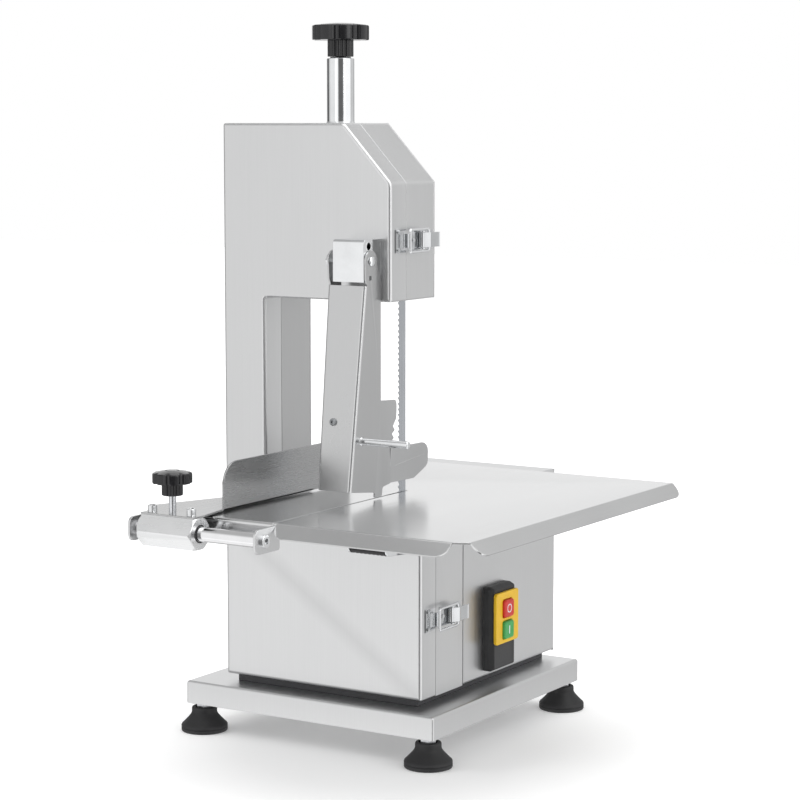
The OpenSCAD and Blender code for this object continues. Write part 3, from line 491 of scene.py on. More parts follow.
def screw(place, r, h, hex_r=None, dome=0.0):
    """A screw head with a rounded rim and, where hex_r is given, a hexagonal socket."""
    rim = min(0.35 * h, 0.9)
    profile = [(r * 0.98, 0), (r, rim * 0.2), (r, h - rim)]
    profile += [(r - rim * (1 - math.cos(t)), h - rim * (1 - math.sin(t))) for t in arc(3)[1:]]
    if hex_r:
        flat = r - rim
        profile += [(max(hex_r + 0.5, flat * 0.72), h + dome)]
        bm = lathe(place, profile, 48)
        centre = place(0, 0, h + dome)
        u, v = place(1, 0, 0) - place(0, 0, 0), place(0, 1, 0) - place(0, 0, 0)

        def angle(q):
            return math.atan2((q.co - centre).dot(v), (q.co - centre).dot(u))

        mouth = profile[-1][0]
        ring = [q for q in bm.verts if abs((q.co - centre).length - mouth) < 1e-3]
        ring = sorted((q for q in ring if q.is_boundary), key=angle)
        sides = [ring]
        for depth in (h + dome, h * 0.35):
            loop = []
            for a in map(angle, ring):
                near = (a + math.pi / 6) % (math.pi / 3) - math.pi / 6
                reach = hex_r * math.cos(math.pi / 6) / math.cos(near)
                loop.append(bm.verts.new(place(reach * math.cos(a), reach * math.sin(a), depth)))
            sides.append(loop)
        for low, high in zip(sides, sides[1:]):
            bridge(bm, low, high)
        bm.faces.new(sides[-1])
    else:
        profile += [(r * 0.5, h + dome * 0.8), (0, h + dome)]
        bm = lathe(place, profile, 32)
    close_end(bm)
    return bm


def close_end(bm):
    bmesh.ops.contextual_create(bm, geom=[e for e in bm.edges if e.is_boundary])


def joined(*parts):
    """Several bmeshes as one."""
    whole, *others = parts
    for part in others:
        mesh = bpy.data.meshes.new("join")
        part.to_mesh(mesh)
        part.free()
        whole.from_mesh(mesh)
        bpy.data.meshes.remove(mesh)
    return whole


def carved(bm, *cutters):
    """A bmesh with other closed bmeshes cut out of it."""
    for part in (bm, *cutters):
        weld(part, 1e-4)
    made, *others = [as_object(part) for part in (bm, *cutters)]
    for cutter in others:
        modify(made, "BOOLEAN", object=cutter, solver="EXACT")
    out = evaluated_bmesh(made, *others)
    bmesh.ops.dissolve_limit(out, angle_limit=math.radians(0.5), verts=out.verts, edges=out.edges)
    return out


def plate(low, high, corner=0.0):
    """A flat sheet between two corners; its outline is rounded across its thinnest side."""
    size = [h - l for l, h in zip(low, high)]
    thin = size.index(min(size))
    place = (SIDE, FRONT, TOP)[thin]
    u, v = [i for i in range(3) if i != thin]
    outline = [(low[u], low[v]), (high[u], low[v]), (high[u], high[v]), (low[u], high[v])]
    return slab(place, outline, max(corner, 0.05), low[thin], high[thin])


def sleeve(place, outline, radii, wall, w0, w1):
    """A bent sheet closed on itself: walls of one thickness between two depths."""
    return hoop(levels(place, outline, radii, ((0, w0), (0, w1), (wall, w1), (wall, w0))))


def strip(chain_out, chain_in, place, w0, w1):
    """A bent sheet that follows an open chain of points, from depth w0 to w1."""
    rings = []
    for a, b in zip(chain_out, chain_in):
        corners = ((a, w0), (a, w1), (b, w1), (b, w0))
        rings.append([place(p.x, p.y, w) for p, w in corners])
    return solid(rings)


def sheet_solid(bm, thickness, facing):
    """Thickens an open surface inwards; facing(faces) is below 0 if its normals point inwards."""
    weld(bm, 0.01)
    if facing(bm.faces) < 0:
        bmesh.ops.reverse_faces(bm, faces=bm.faces)
    made = as_object(bm)
    modify(made, "SOLIDIFY", thickness=thickness, offset=-1, use_even_offset=True)
    return evaluated_bmesh(made)


def rectangle(x0, y0, x1, y1):
    return [(x0, y0), (x1, y0), (x1, y1), (x0, y1)]


def hexagon(across):
    reach = across / 2 / math.cos(math.pi / 6)
    turns = [k * math.pi / 3 for k in range(6)]
    return [(reach * math.cos(t), reach * math.sin(t)) for t in turns]


# ---- Places, in millimetres from the tray's middle ----

cover_low, cover_high = span("upper_cover")
door_low, door_high = span("lower_door")
tray_low, tray_high = span("base_tray")
head_low, head_high = span("head_shell")
box_low, box_high = span("motor_box")
TABLE_TOP = span("table_top")[1].z
LEFT, RIGHT = cover_low.x, door_high.x
FRONT_Y, SEAM_Y = cover_low.y, cover_high.y
FRAME_Y = head_low.y
HEAD_X, HEAD_TOP, HEAD_FLOOR = head_high.x, head_high.z, head_low.z
COLUMN_X = LEFT + 58
COVER_Z = cover_low.z
SLOPE_W, SLOPE_H = 62.5, 66.5
CABINET_TOP = box_high.z
BLADE_LOW, BLADE_HIGH = span("blade")
BLADE_X = BLADE_HIGH.x - 0.3
WHEEL = span("lower_wheel")
WHEEL_X = middle(*WHEEL)[0]
BACK_Y = box_low.y


# ---- Shells ----


def head_outline(low):
    right = [(HEAD_X, HEAD_FLOOR), (HEAD_X, HEAD_TOP - SLOPE_H), (HEAD_X - SLOPE_W, HEAD_TOP)]
    return [(LEFT, low), (COLUMN_X, low), (COLUMN_X, HEAD_FLOOR), *right, (LEFT, HEAD_TOP)]


BENDS = [1.5, 1.5, 4, 2.5, 9, 9, 2.5]
# Bevel, its segments and the angle it starts at
PRESSED = (0.25, 1, 60)
CUT = (0.3, 2, 50)
SHEARED = (0.35, 2, 40)
cover = pan(FRONT, head_outline(COVER_Z), BENDS, FRONT_Y, SEAM_Y, 4.2)
stand_in("upper_cover_skin", cover, "upper_cover", *PRESSED)
outline = rectangle(LEFT, door_low.z, RIGHT, door_high.z)
door = pan(FRONT, outline, 2.0, FRONT_Y, SEAM_Y, 4.2)
stand_in("lower_door_skin", door, "lower_door", *PRESSED)
outline = rectangle(tray_low.x, tray_low.y, tray_high.x, tray_high.y)
tray = [pan(TOP, outline, 2.2, tray_high.z, tray_low.z, 3.2)]
for sx in (-1, 1):
    for sy in (-1, 1):
        x0, x1 = sorted((sx * 122, sx * 169.2))
        y0, y1 = sorted((sy * 125, sy * 172.2))
        tray.append(plate((x0, y0, tray_low.z + 0.4), (x1, y1, tray_low.z + 2.4), 3))
stand_in("base_tray_skin", joined(*tray), "base_tray", *PRESSED)

# The strip round the head, with the blade's slot
CORNER_POINTS = 6
paths = []
for inset in (0, SHEET):
    path = rounded(head_outline(HEAD_FLOOR - 40), BENDS, inset)
    path = path[3 * CORNER_POINTS : 6 * CORNER_POINTS]
    ends = Vector((COLUMN_X, HEAD_FLOOR + inset)), Vector((LEFT, HEAD_TOP - inset))
    paths.append([ends[0], *path, ends[1]])
slot = plate((BLADE_X - 5, FRAME_Y - 2, HEAD_FLOOR - 3), (BLADE_X + 5, -87, HEAD_FLOOR + 4), 1)
head = carved(strip(*paths, FRONT, FRAME_Y, head_high.y), slot)
stand_in("head_strip", head, "head_shell", *CUT)

# The fixed box under the table, and the frame's floor and right side
header_z = door_high.z + 0.4
outline = rectangle(LEFT, FRONT_Y, RIGHT, FRAME_Y)
floor_low, back = door_low.z, head_high.y
deck = [(COLUMN_X - SHEET, FRAME_Y + 0.3), (BLADE_X - 5, FRAME_Y + 0.3), (BLADE_X - 5, -64.2)]
deck += [(BLADE_X + 5, -64.2), (BLADE_X + 5, FRAME_Y + 0.3), (RIGHT, FRAME_Y + 0.3)]
deck += [(RIGHT, back), (COLUMN_X - SHEET, back)]
header = joined(
    pan(TOP, outline, [4.2, 4.2, 0.6, 0.6], CABINET_TOP, header_z, 2.5),
    plate((LEFT + SHEET + 0.1, FRAME_Y, floor_low), (RIGHT - SHEET, back, floor_low + SHEET)),
    plate((RIGHT - SHEET, FRAME_Y, floor_low), (RIGHT, back, header_z - 0.1)),
    plate((RIGHT - SHEET, FRAME_Y + 0.3, header_z), (RIGHT, back, CABINET_TOP - SHEET - 0.1)),
    slab(TOP, deck, 0.3, CABINET_TOP - SHEET, CABINET_TOP),
)
stand_in("cabinet_frame", header, "cabinet_shell", *PRESSED)

# The wrap behind the frame, with its inside flanges
outline = rectangle(box_low.x, box_low.z, box_high.x, box_high.z)
box = joined(
    sleeve(FRONT, outline, 3.5, SHEET, BACK_Y, box_high.y),
    plate((LEFT + 1.6, BACK_Y + 0.6, box_low.z + 6), (LEFT + 13, BACK_Y + 2.4, box_high.z - 6)),
    plate((RIGHT - 13, BACK_Y + 0.6, box_low.z + 6), (RIGHT - 1.6, BACK_Y + 2.4, box_high.z - 6)),
)
stand_in("motor_box_wrap", box, "motor_box", *CUT)

# The inner column takes the darker sheet, as painted shade under the head
softened("column_shell", 0.5, material=MATERIALS["shaded_column_steel"])
softened("frame_back_plate", 0.3, 1)
softened("plinth", 0.5)
softened("rear_panel", 0.3, 1)

# Pressed hoods over the rear louvres, and the panel's screws
PANEL_Y = span("rear_panel")[1].y
WIDTHS = [(36, 0.0), (35.4, 0.55), (33, 0.9), (28, 1.0)]
hoods = []
for z in range(133, 205, 11):
    sections = [(WHEEL_X - x, grow) for x, grow in WIDTHS]
    sections += [(2 * WHEEL_X - x, grow) for x, grow in reversed(sections)]
    rings = []
    for x, grow in sections:
        bulge = 3.4 * grow
        ring = [(bulge * math.sin(t), 5.2 * math.cos(t)) for t in arc(6)]
        hollow = max(bulge - 0.8, 0.1)
        ring += [(hollow * math.sin(t), 4.4 * math.cos(t)) for t in reversed(arc(6))]
        rings.append([Vector((x, PANEL_Y + out, z + up)) for out, up in ring])
    hoods.append(solid(rings))
piece("louvre_hoods", joined(*hoods), "frame", "stainless_brushed")


def screws(name, body, places, axis, sign, *size):
    heads = [screw(frame_at(*place, axis, sign), *size) for place in places]
    piece(name, joined(*heads), body, "zinc_steel")


places = [(x, PANEL_Y - 0.1, z) for x in (LEFT + 9, WHEEL_X, RIGHT - 9) for z in (80, 286)]
screws("rear_panel_screws", "frame", places, "Y", 1, 3.6, 1.6, None, 0.9)

# ---- Feet ----

for corner in ("front_left", "front_right", "rear_left", "rear_right"):
    node = "foot_pad_" + corner
    low, high = span(node)
    cx, cy, _ = middle(low, high)
    r, top = (high.x - low.x) / 2, high.z - 2.2
    profile = [(0, 1.2), (r - 6, 1.2), (r - 5, 0), (r - 1.6, 0)]
    profile += [(r - 0.35, 0.6), (r, 1.8), (r, 4.3), (r - 0.5, 4.7), (r - 0.5, 5.3), (r, 5.7)]
    profile += [(r, 7.0), (r - 0.6, 8.4), (r - 2, 9.6)]
    profile += [(20.6, 14.6), (17.2, 18.4), (15.4, 21.2), (15, 23)]
    profile += [(15, top - 2.2), (14.3, top - 0.7), (13, top), (11.2, top)]
    profile += [(10.7, top - 0.5), (10.7, 27.1), (5.1, 27), (5.1, 12.7), (0, 12.7)]
    stand_in(node + "_rubber", lathe(frame_at(cx, cy, 0), profile, 72), node)
softened("foot_studs", 0.5)

# ---- Drive ----

DRIVE = {"motor": 0.8, "motor_shaft": 0.6, "lower_wheel": 0.7, "upper_wheel": 0.7}
DRIVE |= {"upper_bearings": 0.5, "upper_axle": 0.5, "carriage": 0.8, "carriage_rails": 0.8}
DRIVE |= {"blade_guides": 0.6, "spring_cup": 0.5, "cable_gland": 0.6, "table_ribs": 0.3}
for node, bevel in DRIVE.items():
    softened(node, bevel)

# Threads on the part of the tension rod that shows
rod_low, rod_high = span("tension_rod")
rod_x, rod_y, _ = middle(rod_low, rod_high)
rod_r = (rod_high.x - rod_low.x) / 2
profile = [(0, rod_low.z), (rod_r - 0.6, rod_low.z), (rod_r, rod_low.z + 0.6), (rod_r, 722)]
z = 722.6
while z < rod_high.z - 2:
    profile += [(rod_r - 0.6, z), (rod_r, z + 0.6), (rod_r, z + 0.8)]
    z += 1.4
profile += [(rod_r - 0.5, rod_high.z - 0.4), (rod_r - 1, rod_high.z), (0, rod_high.z)]
stand_in("tension_rod_thread", lathe(frame_at(rod_x, rod_y, 0), profile, 40), "tension_rod")

# The tube is welded to the head's top and rounded at its mouth
tube_low, tube_high = span("tension_tube")
tube_r = (tube_high.x - tube_low.x) / 2
z0, z1 = tube_low.z, tube_high.z
profile = [(tube_r - 1.7, z0 + 3), (8, z0 + 3), (8, z0), (tube_r - 0.1, z0)]
profile += [(tube_r + 0.8, z0 + 0.1), (tube_r + 0.7, z0 + 0.6), (tube_r + 0.3, z0 + 1.2)]
profile += [(tube_r, z0 + 2.2), (tube_r, z1 - 0.8), (tube_r - 0.3, z1 - 0.15)]
profile += [(tube_r - 0.8, z1), (tube_r - 1.5, z1 - 0.4), (tube_r - 1.7, z1 - 1)]
profile.append((tube_r - 1.7, z0 + 3))
tube = lathe(frame_at(rod_x, rod_y, 0), profile, 72)
stand_in("tension_tube_skin", tube, "tension_tube", slot="stainless_bright")

# The blade, with hooked teeth that point down where it cuts
thick = 0.6
mid_r = BLADE_X - WHEEL_X
low_z, high_z = WHEEL[0].z + (WHEEL[1].z - WHEEL[0].z) / 2, BLADE_HIGH.z - mid_r - 0.3
straight = high_z - low_z
loop_len = 2 * straight + 2 * math.pi * mid_r
teeth = round(loop_len / 6.35)


def on_loop(s):
    """Point and outward normal at a length along the blade's loop, downwards on the right."""

    def on_wheel(a, z):
        n = Vector((math.cos(a), math.sin(a)))
        return Vector((WHEEL_X, z)) + n * mid_r, n

    s %= loop_len
    if s < straight:
        return Vector((WHEEL_X + mid_r, high_z - s)), Vector((1, 0))
    s -= straight
    if s < math.pi * mid_r:
        return on_wheel(-s / mid_r, low_z)
    s -= math.pi * mid_r
    if s < straight:
        return Vector((WHEEL_X - mid_r, low_z + s)), Vector((-1, 0))
    return on_wheel(math.pi - (s - straight) / mid_r, high_z)


rings = []
for k in range(teeth):
    for share, depth in ((0.62, 1.9), (0.3, 3.1), (0.1, 2.6), (0.0, 0.0)):
        point, normal = on_loop(loop_len * (k - share) / teeth)
        y0, y1 = BLADE_LOW.y + depth, BLADE_HIGH.y
        ring = []
        for y, out in ((y0, 0.5), (y1 - 0.2, 0.5), (y1, 0.0), (y1 - 0.2, -0.5), (y0, -0.5)):
            p = point + normal * (out * thick)
            ring.append(Vector((p.x, y, p.y)))
        rings.append(ring)
stand_in("blade_toothed", hoop(rings), "blade")

# ---- Table ----


def table_sheet():
    """The table's flat, its folded front edge and the two splayed lips, as one bent sheet."""
    bm = bmesh.new()
    top, front, right, rear = TABLE_TOP, -355.0, 318.0, 125.0
    radius, lip_w, round_r = 4.0, 19.0, 15.2
    pull = radius * math.tan(math.radians(22.5))
    left, notch = -45.0, 88.0
    slot_l, slot_r = BLADE_X - 1.5, BLADE_X + 1.5
    slot_end = -88.0

    bend_y, end_x, seam_x = front + pull, right - 15.6, right - pull
    edge = [(left, front + radius), (slot_l, front + radius), (slot_l, slot_end)]
    edge += [(slot_r, slot_end), (slot_r, front), (notch - 0.4, front), (notch - 0.4, bend_y)]
    edge += [(notch, bend_y), (right - 16, bend_y), (end_x, bend_y), (end_x, front + 0.3)]
    edge += [(right - 0.3, front + 7), (right - 0.3, front + 8.6), (seam_x, front + 8.6)]
    edge += [(seam_x, front + 9), (seam_x, rear), (LEFT, rear), (LEFT, BACK_Y - 0.2)]
    edge += [(COLUMN_X + 0.4, BACK_Y - 0.2), (COLUMN_X + 0.4, FRONT_Y - 0.4)]
    edge.append((left, FRONT_Y - 0.4))
    face(bm, [(x, y, top) for x, y in edge])

    def fold(start, end, out, angle, length, round_ends=False):
        """A bend from the flat's edge between two points, then a straight flap."""
        start, end, out = Vector((*start, top)), Vector((*end, top)), Vector(out)
        rows = []
        steps = 6
        for k in range(steps + 1):
            t = angle * k / steps
            shift = out * (radius * math.sin(t)) - Vector((0, 0, radius * (1 - math.cos(t))))
            rows.append((start + shift, end + shift))
        for low, high in zip(rows, rows[1:]):
            face(bm, (low[0], low[1], high[1], high[0]))
        along = (end - start).normalized()
        width = (end - start).length
        down = out * math.cos(angle) - Vector((0, 0, math.sin(angle)))
        a, b = rows[-1]
        if round_ends:
            turn = [(round_r * (1 - math.cos(t)), round_r * (1 - math.sin(t))) for t in arc(8)]
            flap = [a + along * (width - u) + down * (length - v) for u, v in turn]
            flap += [a + along * v + down * (length - u) for u, v in turn]
        else:
            flap = [b + down * length, a + down * length]
        face(bm, [a, b, *flap])

    lip = lip_w - pull
    fold((left, front + radius), (slot_l, front + radius), (0, -1, 0), math.pi / 2, 12)
    fold((notch, bend_y), (right - 16, bend_y), (0, -1, 0), math.pi / 4, lip, True)
    fold((seam_x, front + 9), (seam_x, rear), (1, 0, 0), math.pi / 4, lip, True)
    return sheet_solid(bm, 2.0, lambda faces: sum(f.normal.z * f.calc_area() for f in faces))


stand_in("table_sheet", table_sheet(), "table_top", *SHEARED)

# ---- Fence and its rod ----

FITTINGS = {"guide_rod": 0.7, "slide_block": 0.35, "lock_stud": 0.4, "pusher_bracket": 0.6}
FITTINGS |= {"door_pull_posts": 0.5, "frame_leaves": 0.3, "door_leaves": 0.3, "switch_bezel": 0.8}
for node, bevel in FITTINGS.items():
    softened(node, bevel)
LATCHES = "latch_bases upper_strike lower_strike upper_latch_lever lower_latch_lever"
for node in LATCHES.split():
    softened(node, 0.3, material=MATERIALS["latch_steel"])

block_low, block_high = span("slide_block")
bolt_low, bolt_high = span("fence_bolts")
_, rod_y0, rod_z0 = middle(block_low, block_high)
brace_low, brace_high = span("rod_bracket")
tab = rectangle(brace_low.y + 3, brace_low.z, brace_high.y, brace_high.z)
x0, x1, y1 = brace_low.x, brace_high.x, brace_high.y
z0, z1 = brace_low.z, brace_high.z - 2
bar = [(x0 + 3.2, z0), (x1 - 3.2, z0), (x1 - 3.2, z1), (BLADE_X + 3, z1), (BLADE_X + 3, z0 + 8)]
bar += [(BLADE_X - 3, z0 + 8), (BLADE_X - 3, z1), (x0 + 3.2, z1)]
brace = joined(
    slab(SIDE, tab, [8, 3, 3, 8], x0, x0 + 3, 6),
    slab(SIDE, tab, [8, 3, 3, 8], x1 - 3, x1, 6),
    slab(FRONT, bar, 0.3, y1 - 3, y1),
)
stand_in("rod_brace", brace, "rod_bracket", 0.35, 2, 50)
heads = []
for x, sign in ((x0, -1), (x1, 1)):
    heads.append(screw(frame_at(x, rod_y0, rod_z0, "X", sign), 7, 3.5, 3.4))
    shank = [(x - sign * reach, rod_y0, rod_z0) for reach in (14, 0.1)]
    heads.append(rod(shank, 3, 24))
stand_in("rod_socket_screws", joined(*heads), "rod_screws")

fence_low, fence_high = span("fence_plate")
deck_z, fence_x = fence_low.z, -4.9
half = (block_high.z - block_low.z) / 2 * math.tan(math.radians(30))
x0, x1 = block_low.x, block_high.x
deck = [(x0 + 1, rod_y0 - half), (x1 - 1, rod_y0 - half), (x1 - 1, rod_y0 + half)]
deck += [(fence_x + 2, -325), (fence_x + 2, FRONT_Y - 2), (fence_x - 4, FRONT_Y - 2)]
deck += [(-85, -342), (-83, -350), (x0 + 1, rod_y0 + half - 8)]
wall = rectangle(-325, deck_z, fence_high.y, fence_high.z)
fence_sheet = joined(
    slab(TOP, deck, [1, 1, 2, 6, 0.4, 0.4, 4, 3, 3], deck_z, deck_z + 2),
    slab(SIDE, wall, [0.4, 0.4, 1, 25], fence_x, fence_x + 2, 12),
)
stand_in("fence_sheet", fence_sheet, "fence_plate", *SHEARED)
profile = [(8.4, -0.4), (9.8, -0.4), (9.8, 0.4), (9.5, 0.7), (8.7, 0.7), (8.4, 0.5), (8.4, -0.4)]
rings = [
    lathe(frame_at(x, rod_y0, rod_z0, "X", sign), profile, 64) for x, sign in ((x0, -1), (x1, 1))
]
piece("rod_wipers", joined(*rings), "fence", "black_rubber")


def knurled(angle, r, h):
    return r - 0.22 * (0.5 - 0.5 * math.cos(angle * 24)) if r > 4.6 and h > 0.8 else r


bolts = []
profile = [(3, -8), (3, 0.1), (5, 0.1), (5, 0.9), (4.98, 1.0), (4.98, 6.3), (4.7, 7.0)]
profile += [(4.2, 7.5), (3.2, 7.5), (2.9, 7.2), (2.9, 4.2), (0, 4.0)]
for x in (bolt_low.x + 5, bolt_high.x - 5):
    bolts.append(lathe(frame_at(x, rod_y0, bolt_high.z - 7.5), profile, 96, knurled))
    close_end(bolts[-1])
stand_in("fence_cap_screws", joined(*bolts), "fence_bolts")


def star(x, y, z, d, hub_d, hub_h, rim_h, bore, lobes=8):
    """A moulded star knob: fluted rim, grooved hub and a low dome round a pressed-in cap."""
    R, h2 = d / 2, hub_d / 2
    flute, reach = 0.1 * d, 0.535 * d

    def shape(a, r, h):
        if abs(r - h2) < 0.1 and h < hub_h:
            return r - 0.07 * h2 * (0.5 - 0.5 * math.cos(a * 2 * lobes)) ** 2
        if r < 0.8 * R:
            return r
        part = (a * lobes / (2 * math.pi)) % 1.0
        delta = (part - 0.5) * 2 * math.pi / lobes
        rim = R
        if abs(math.sin(delta)) < flute / reach:
            rim = reach * math.cos(delta) - math.sqrt(flute**2 - (reach * math.sin(delta)) ** 2)
            ease = 0.5 * d / 65
            rim = -ease * math.log(math.exp(-rim / ease) + math.exp(-R / ease))
        return min(r, rim - (R - r) * 0.55)

    top = hub_h + rim_h
    profile = [(0, hub_h), (bore, hub_h), (bore, 0)]
    profile += [(h2 - 0.8, 0), (h2 - 0.4, 0.2), (h2, 0.8), (h2, hub_h * 0.5)]
    profile += [(h2, hub_h - 0.5), (h2 + 0.7, hub_h), (0.6 * R + 2, hub_h), (0.82 * R, hub_h)]
    profile += [(R - 1.3, hub_h), (R - 0.4, hub_h + 0.4), (R, hub_h + 1.4)]
    profile += [(R, top - 1.8), (R - 0.25, top - 1.0), (R - 0.8, top - 0.35)]
    profile += [(R - 1.7, top), (0.84 * R, top + 0.3), (0.7 * R, top + 1.0)]
    profile += [(0.5 * R, top + 1.8), (0.36 * R, top + 2.1), (0.34 * R, top + 1.6)]
    profile += [(0.31 * R, top + 1.6), (0.29 * R, top + 2.15), (0.15 * R, top + 2.4)]
    profile.append((0, top + 2.5))
    return lathe(frame_at(x, y, z), profile, lobes * 32, shape)


knob = star(rod_x, rod_y, span("tension_knob")[0].z, 65, 30, 18.7, 17, 6.4)
stand_in("tension_star_knob", knob, "tension_knob")
low, high = span("lock_knob")
knob = star(middle(low, high)[0], rod_y0, low.z, 43, 23, 13, 11.5, 4.2)
stand_in("lock_star_knob", knob, "lock_knob")

# ---- Pusher ----

PIVOT_X = span("pusher_pivot")[0].x
ARM_X0, ARM_X1 = span("pusher_arm")[0].x, 88.8
PIVOT = Vector((-171.0, 565.0))
WEB_TOP, WEB_FOOT = Vector((-183.1, 538.3)), Vector((-215.4, 312.4))
WEB_RUN = (WEB_TOP - WEB_FOOT).normalized()
WEB_OUT = Vector((-WEB_RUN.y, WEB_RUN.x))
TAPER = 6.5


def pusher_sheet():
    """The arm's folded channel: toothed right wall, web and tapered left wall, bent at R 4."""
    bm = bmesh.new()
    r = 4.0

    def yz(p, x):
        return Vector((x, p.x, p.y))

    def bent(p, x_edge, side, t):
        """A point of the bend at the web's end; t runs from 0 on the web to 90 on the wall."""
        return yz(p - WEB_OUT * (r - r * math.cos(t)), x_edge - side * r + side * r * math.sin(t))

    # The ear goes round the pivot, over its top
    a0, a1 = math.atan2(-3, -11.6), math.atan2(-3, 11.6) - 2 * math.pi
    turns = [a0 + (a1 - a0) * k / 24 for k in range(25)]
    ear = [WEB_TOP - WEB_OUT * r, Vector((-182.2, 545)), Vector((-182.6, 560))]
    ear += [PIVOT + Vector((math.cos(a), math.sin(a))) * 12 for a in turns]
    foot_in = WEB_FOOT - WEB_OUT * r
    nose = [(-151.5, 409.4), (-150.8, 408.6), (-149.4, 408.3), (-122.4, 406.6), (-120, 405.6)]
    nose += [(-118.6, 402.6), (-118.3, 396), (-119, 386.4), (-119.6, 384.6), (-125.6, 377.6)]
    nose += [(-125.9, 376.9), (-125.6, 376.2), (-122.9, 373.1), (-122.7, 372.4), (-123, 371.7)]
    nose += [(-127.6, 368.9), (-127.8, 368.2), (-127.6, 367.5), (-124.7, 364.4), (-124.5, 363.7)]
    nose += [(-124.8, 363), (-129.5, 360.2), (-129.8, 359.5), (-129.5, 358.8), (-126.9, 355.6)]
    nose += [(-131, 340)]
    nose += [(-131, 315), (-131.8, 313.2), (-133.4, 312.3), (-146.6, 310.5), (-148.2, 309)]
    nose += [(-149.3, 302.2), (-150.2, 300.8), (-151.8, 300.2), (-163.4, 300.2), (-164.6, 301.4)]
    nose += [(-164.2, 304.6), (-165.4, 306.2)]
    right = ear + [Vector(p) for p in [(-151.5, 545), *nose]] + [foot_in]
    face(bm, [yz(p, ARM_X1) for p in right])

    # The left wall leans in towards its foot
    def left_x(p):
        return ARM_X0 + TAPER * max(WEB_TOP.y - p.y, -30) / (WEB_TOP.y - WEB_FOOT.y)

    left = ear + [Vector(p) for p in ((-158, 545), (-163, 312), (-165, 310))] + [foot_in]
    face(bm, [yz(p, left_x(p)) for p in reversed(left)])

    ends = (WEB_FOOT, WEB_TOP)
    turns = arc(6)
    columns = [[bent(p, ARM_X1, 1, t) for p in ends] for t in reversed(turns)]
    columns += [[bent(p, left_x(p - WEB_OUT * r), -1, t) for p in ends] for t in turns]
    for a, b in zip(columns, columns[1:]):
        face(bm, (a[0], a[1], b[1], b[0]))
    return sheet_solid(
        bm, 2.0, lambda faces: max(faces, key=lambda f: f.calc_center_median().x).normal.x
    )


WING = Vector((ARM_X1 - 0.2, -131.0, 0))
WING_LEAN = math.radians(5)
WING_RUN = Vector((math.sin(WING_LEAN), math.cos(WING_LEAN), 0))
WING_OUT = Vector((math.cos(WING_LEAN), -math.sin(WING_LEAN), 0))


def wing_sheet():
    """The wing behind the teeth, flared outwards and creased along a slanting line."""

    def crease(y):
        return 326.5 + y * 0.16

    def at_wing(y, z):
        rise = max(z - crease(y), 0) / 26
        return WING + WING_RUN * y + WING_OUT * (1.3 * rise) + Vector((0, 0, z))

    low = [(-1, 313), (44, 313.2), (60, 320.4), (67, 324), (70.4, 327), (71.5, 331)]
    high = [(71.6, 341), (70.4, 345.6), (67.6, 349.4), (63.4, 352), (59, 352.8), (-1, 352.8)]
    far, near = (71.6, crease(71.6)), (-1, crease(-1))
    bm = bmesh.new()
    for outline in ([*low, far, near], [near, far, *high]):
        face(bm, [at_wing(*p) for p in outline])
    return sheet_solid(bm, 1.7, lambda faces: sum(f.normal.x for f in faces))


slot = plate((ARM_X1 - 5, -175, 544), (ARM_X1 + 1, -170.5, 549), 0.6)
stand_in("pusher_channel", carved(pusher_sheet(), slot), "pusher_arm", *SHEARED)
piece("pusher_wing", wing_sheet(), "pusher", "pusher_steel", *SHEARED)
bead = []
for y, inward in ((6, 0.55), (9, 0.05), (35, 0.05), (61, 0.05), (65, 0.55)):
    bead.append(Vector((ARM_X1 - 0.2 - inward, -131, 330.5 + 0.13 * y)) + WING_RUN * y)
piece("wing_bead", rod(bead, 0.6, 12), "pusher", "pusher_steel")


def on_web(x, z):
    """A placing function on the web's front face, with height pointing out of it."""
    share = (z - WEB_FOOT.y) / (WEB_TOP.y - WEB_FOOT.y)
    p = WEB_FOOT.lerp(WEB_TOP, share)
    return lambda u, v, w: Vector(
        (x + u, p.x + WEB_RUN.x * v + WEB_OUT.x * w, p.y + WEB_RUN.y * v + WEB_OUT.y * w)
    )


piece("web_screw", screw(on_web(60, 388), 4.2, 1.9, 2.2, 0.5), "pusher", "slide_steel")

rod_low, rod_high = span("pusher_handle")
_, y, z = middle(rod_low, rod_high)
length = rod_high.x - rod_low.x
profile = [(0, 0.1), (5, 0.1), (4.9, 0.5), (4.5, 0.9), (4.2, 1.6), (4.2, length - 1.6)]
profile += [(3.9, length - 0.6), (3.3, length - 0.1), (2.4, length), (0, length)]
hand_rod = lathe(frame_at(rod_low.x, y, z, "X"), profile, 48)
stand_in("hand_rod", hand_rod, "pusher_handle", slot="stainless_bright")

y, z = PIVOT
profile = [(0, 0), (5.4, 0), (5.4, 0.9), (5.1, 1.5), (4.3, 2.2), (3.0, 2.7), (1.5, 2.9), (0, 3.0)]
pin = lathe(frame_at(ARM_X1 + 0.25, y, z, "X"), profile, 48)
length = ARM_X1 + 1 - PIVOT_X
profile = [(0, 0), (3.6, 0), (4, 0.4), (4, length), (0, length)]
shank = lathe(frame_at(PIVOT_X, y, z, "X"), profile, 32)
nut = slab(SIDE, [(y + u, z + v) for u, v in hexagon(12.4)], 0.4, ARM_X0 - 6.4, ARM_X0 - 1.8)
stand_in("pivot_pin", joined(pin, shank, nut), "pusher_pivot", *CUT)

profile = [(4.3, -4), (4.3, 0.05), (4.7, 0.26), (5.5, 0.24), (5.9, 0.02), (5.9, -0.4)]
bush = lathe(frame_at(span("pusher_bracket")[1].x, -172.5, 581.5, "X"), profile, 48)
piece("bracket_bush", bush, "upper_cover", "stainless_bright")

# ---- Door pull ----

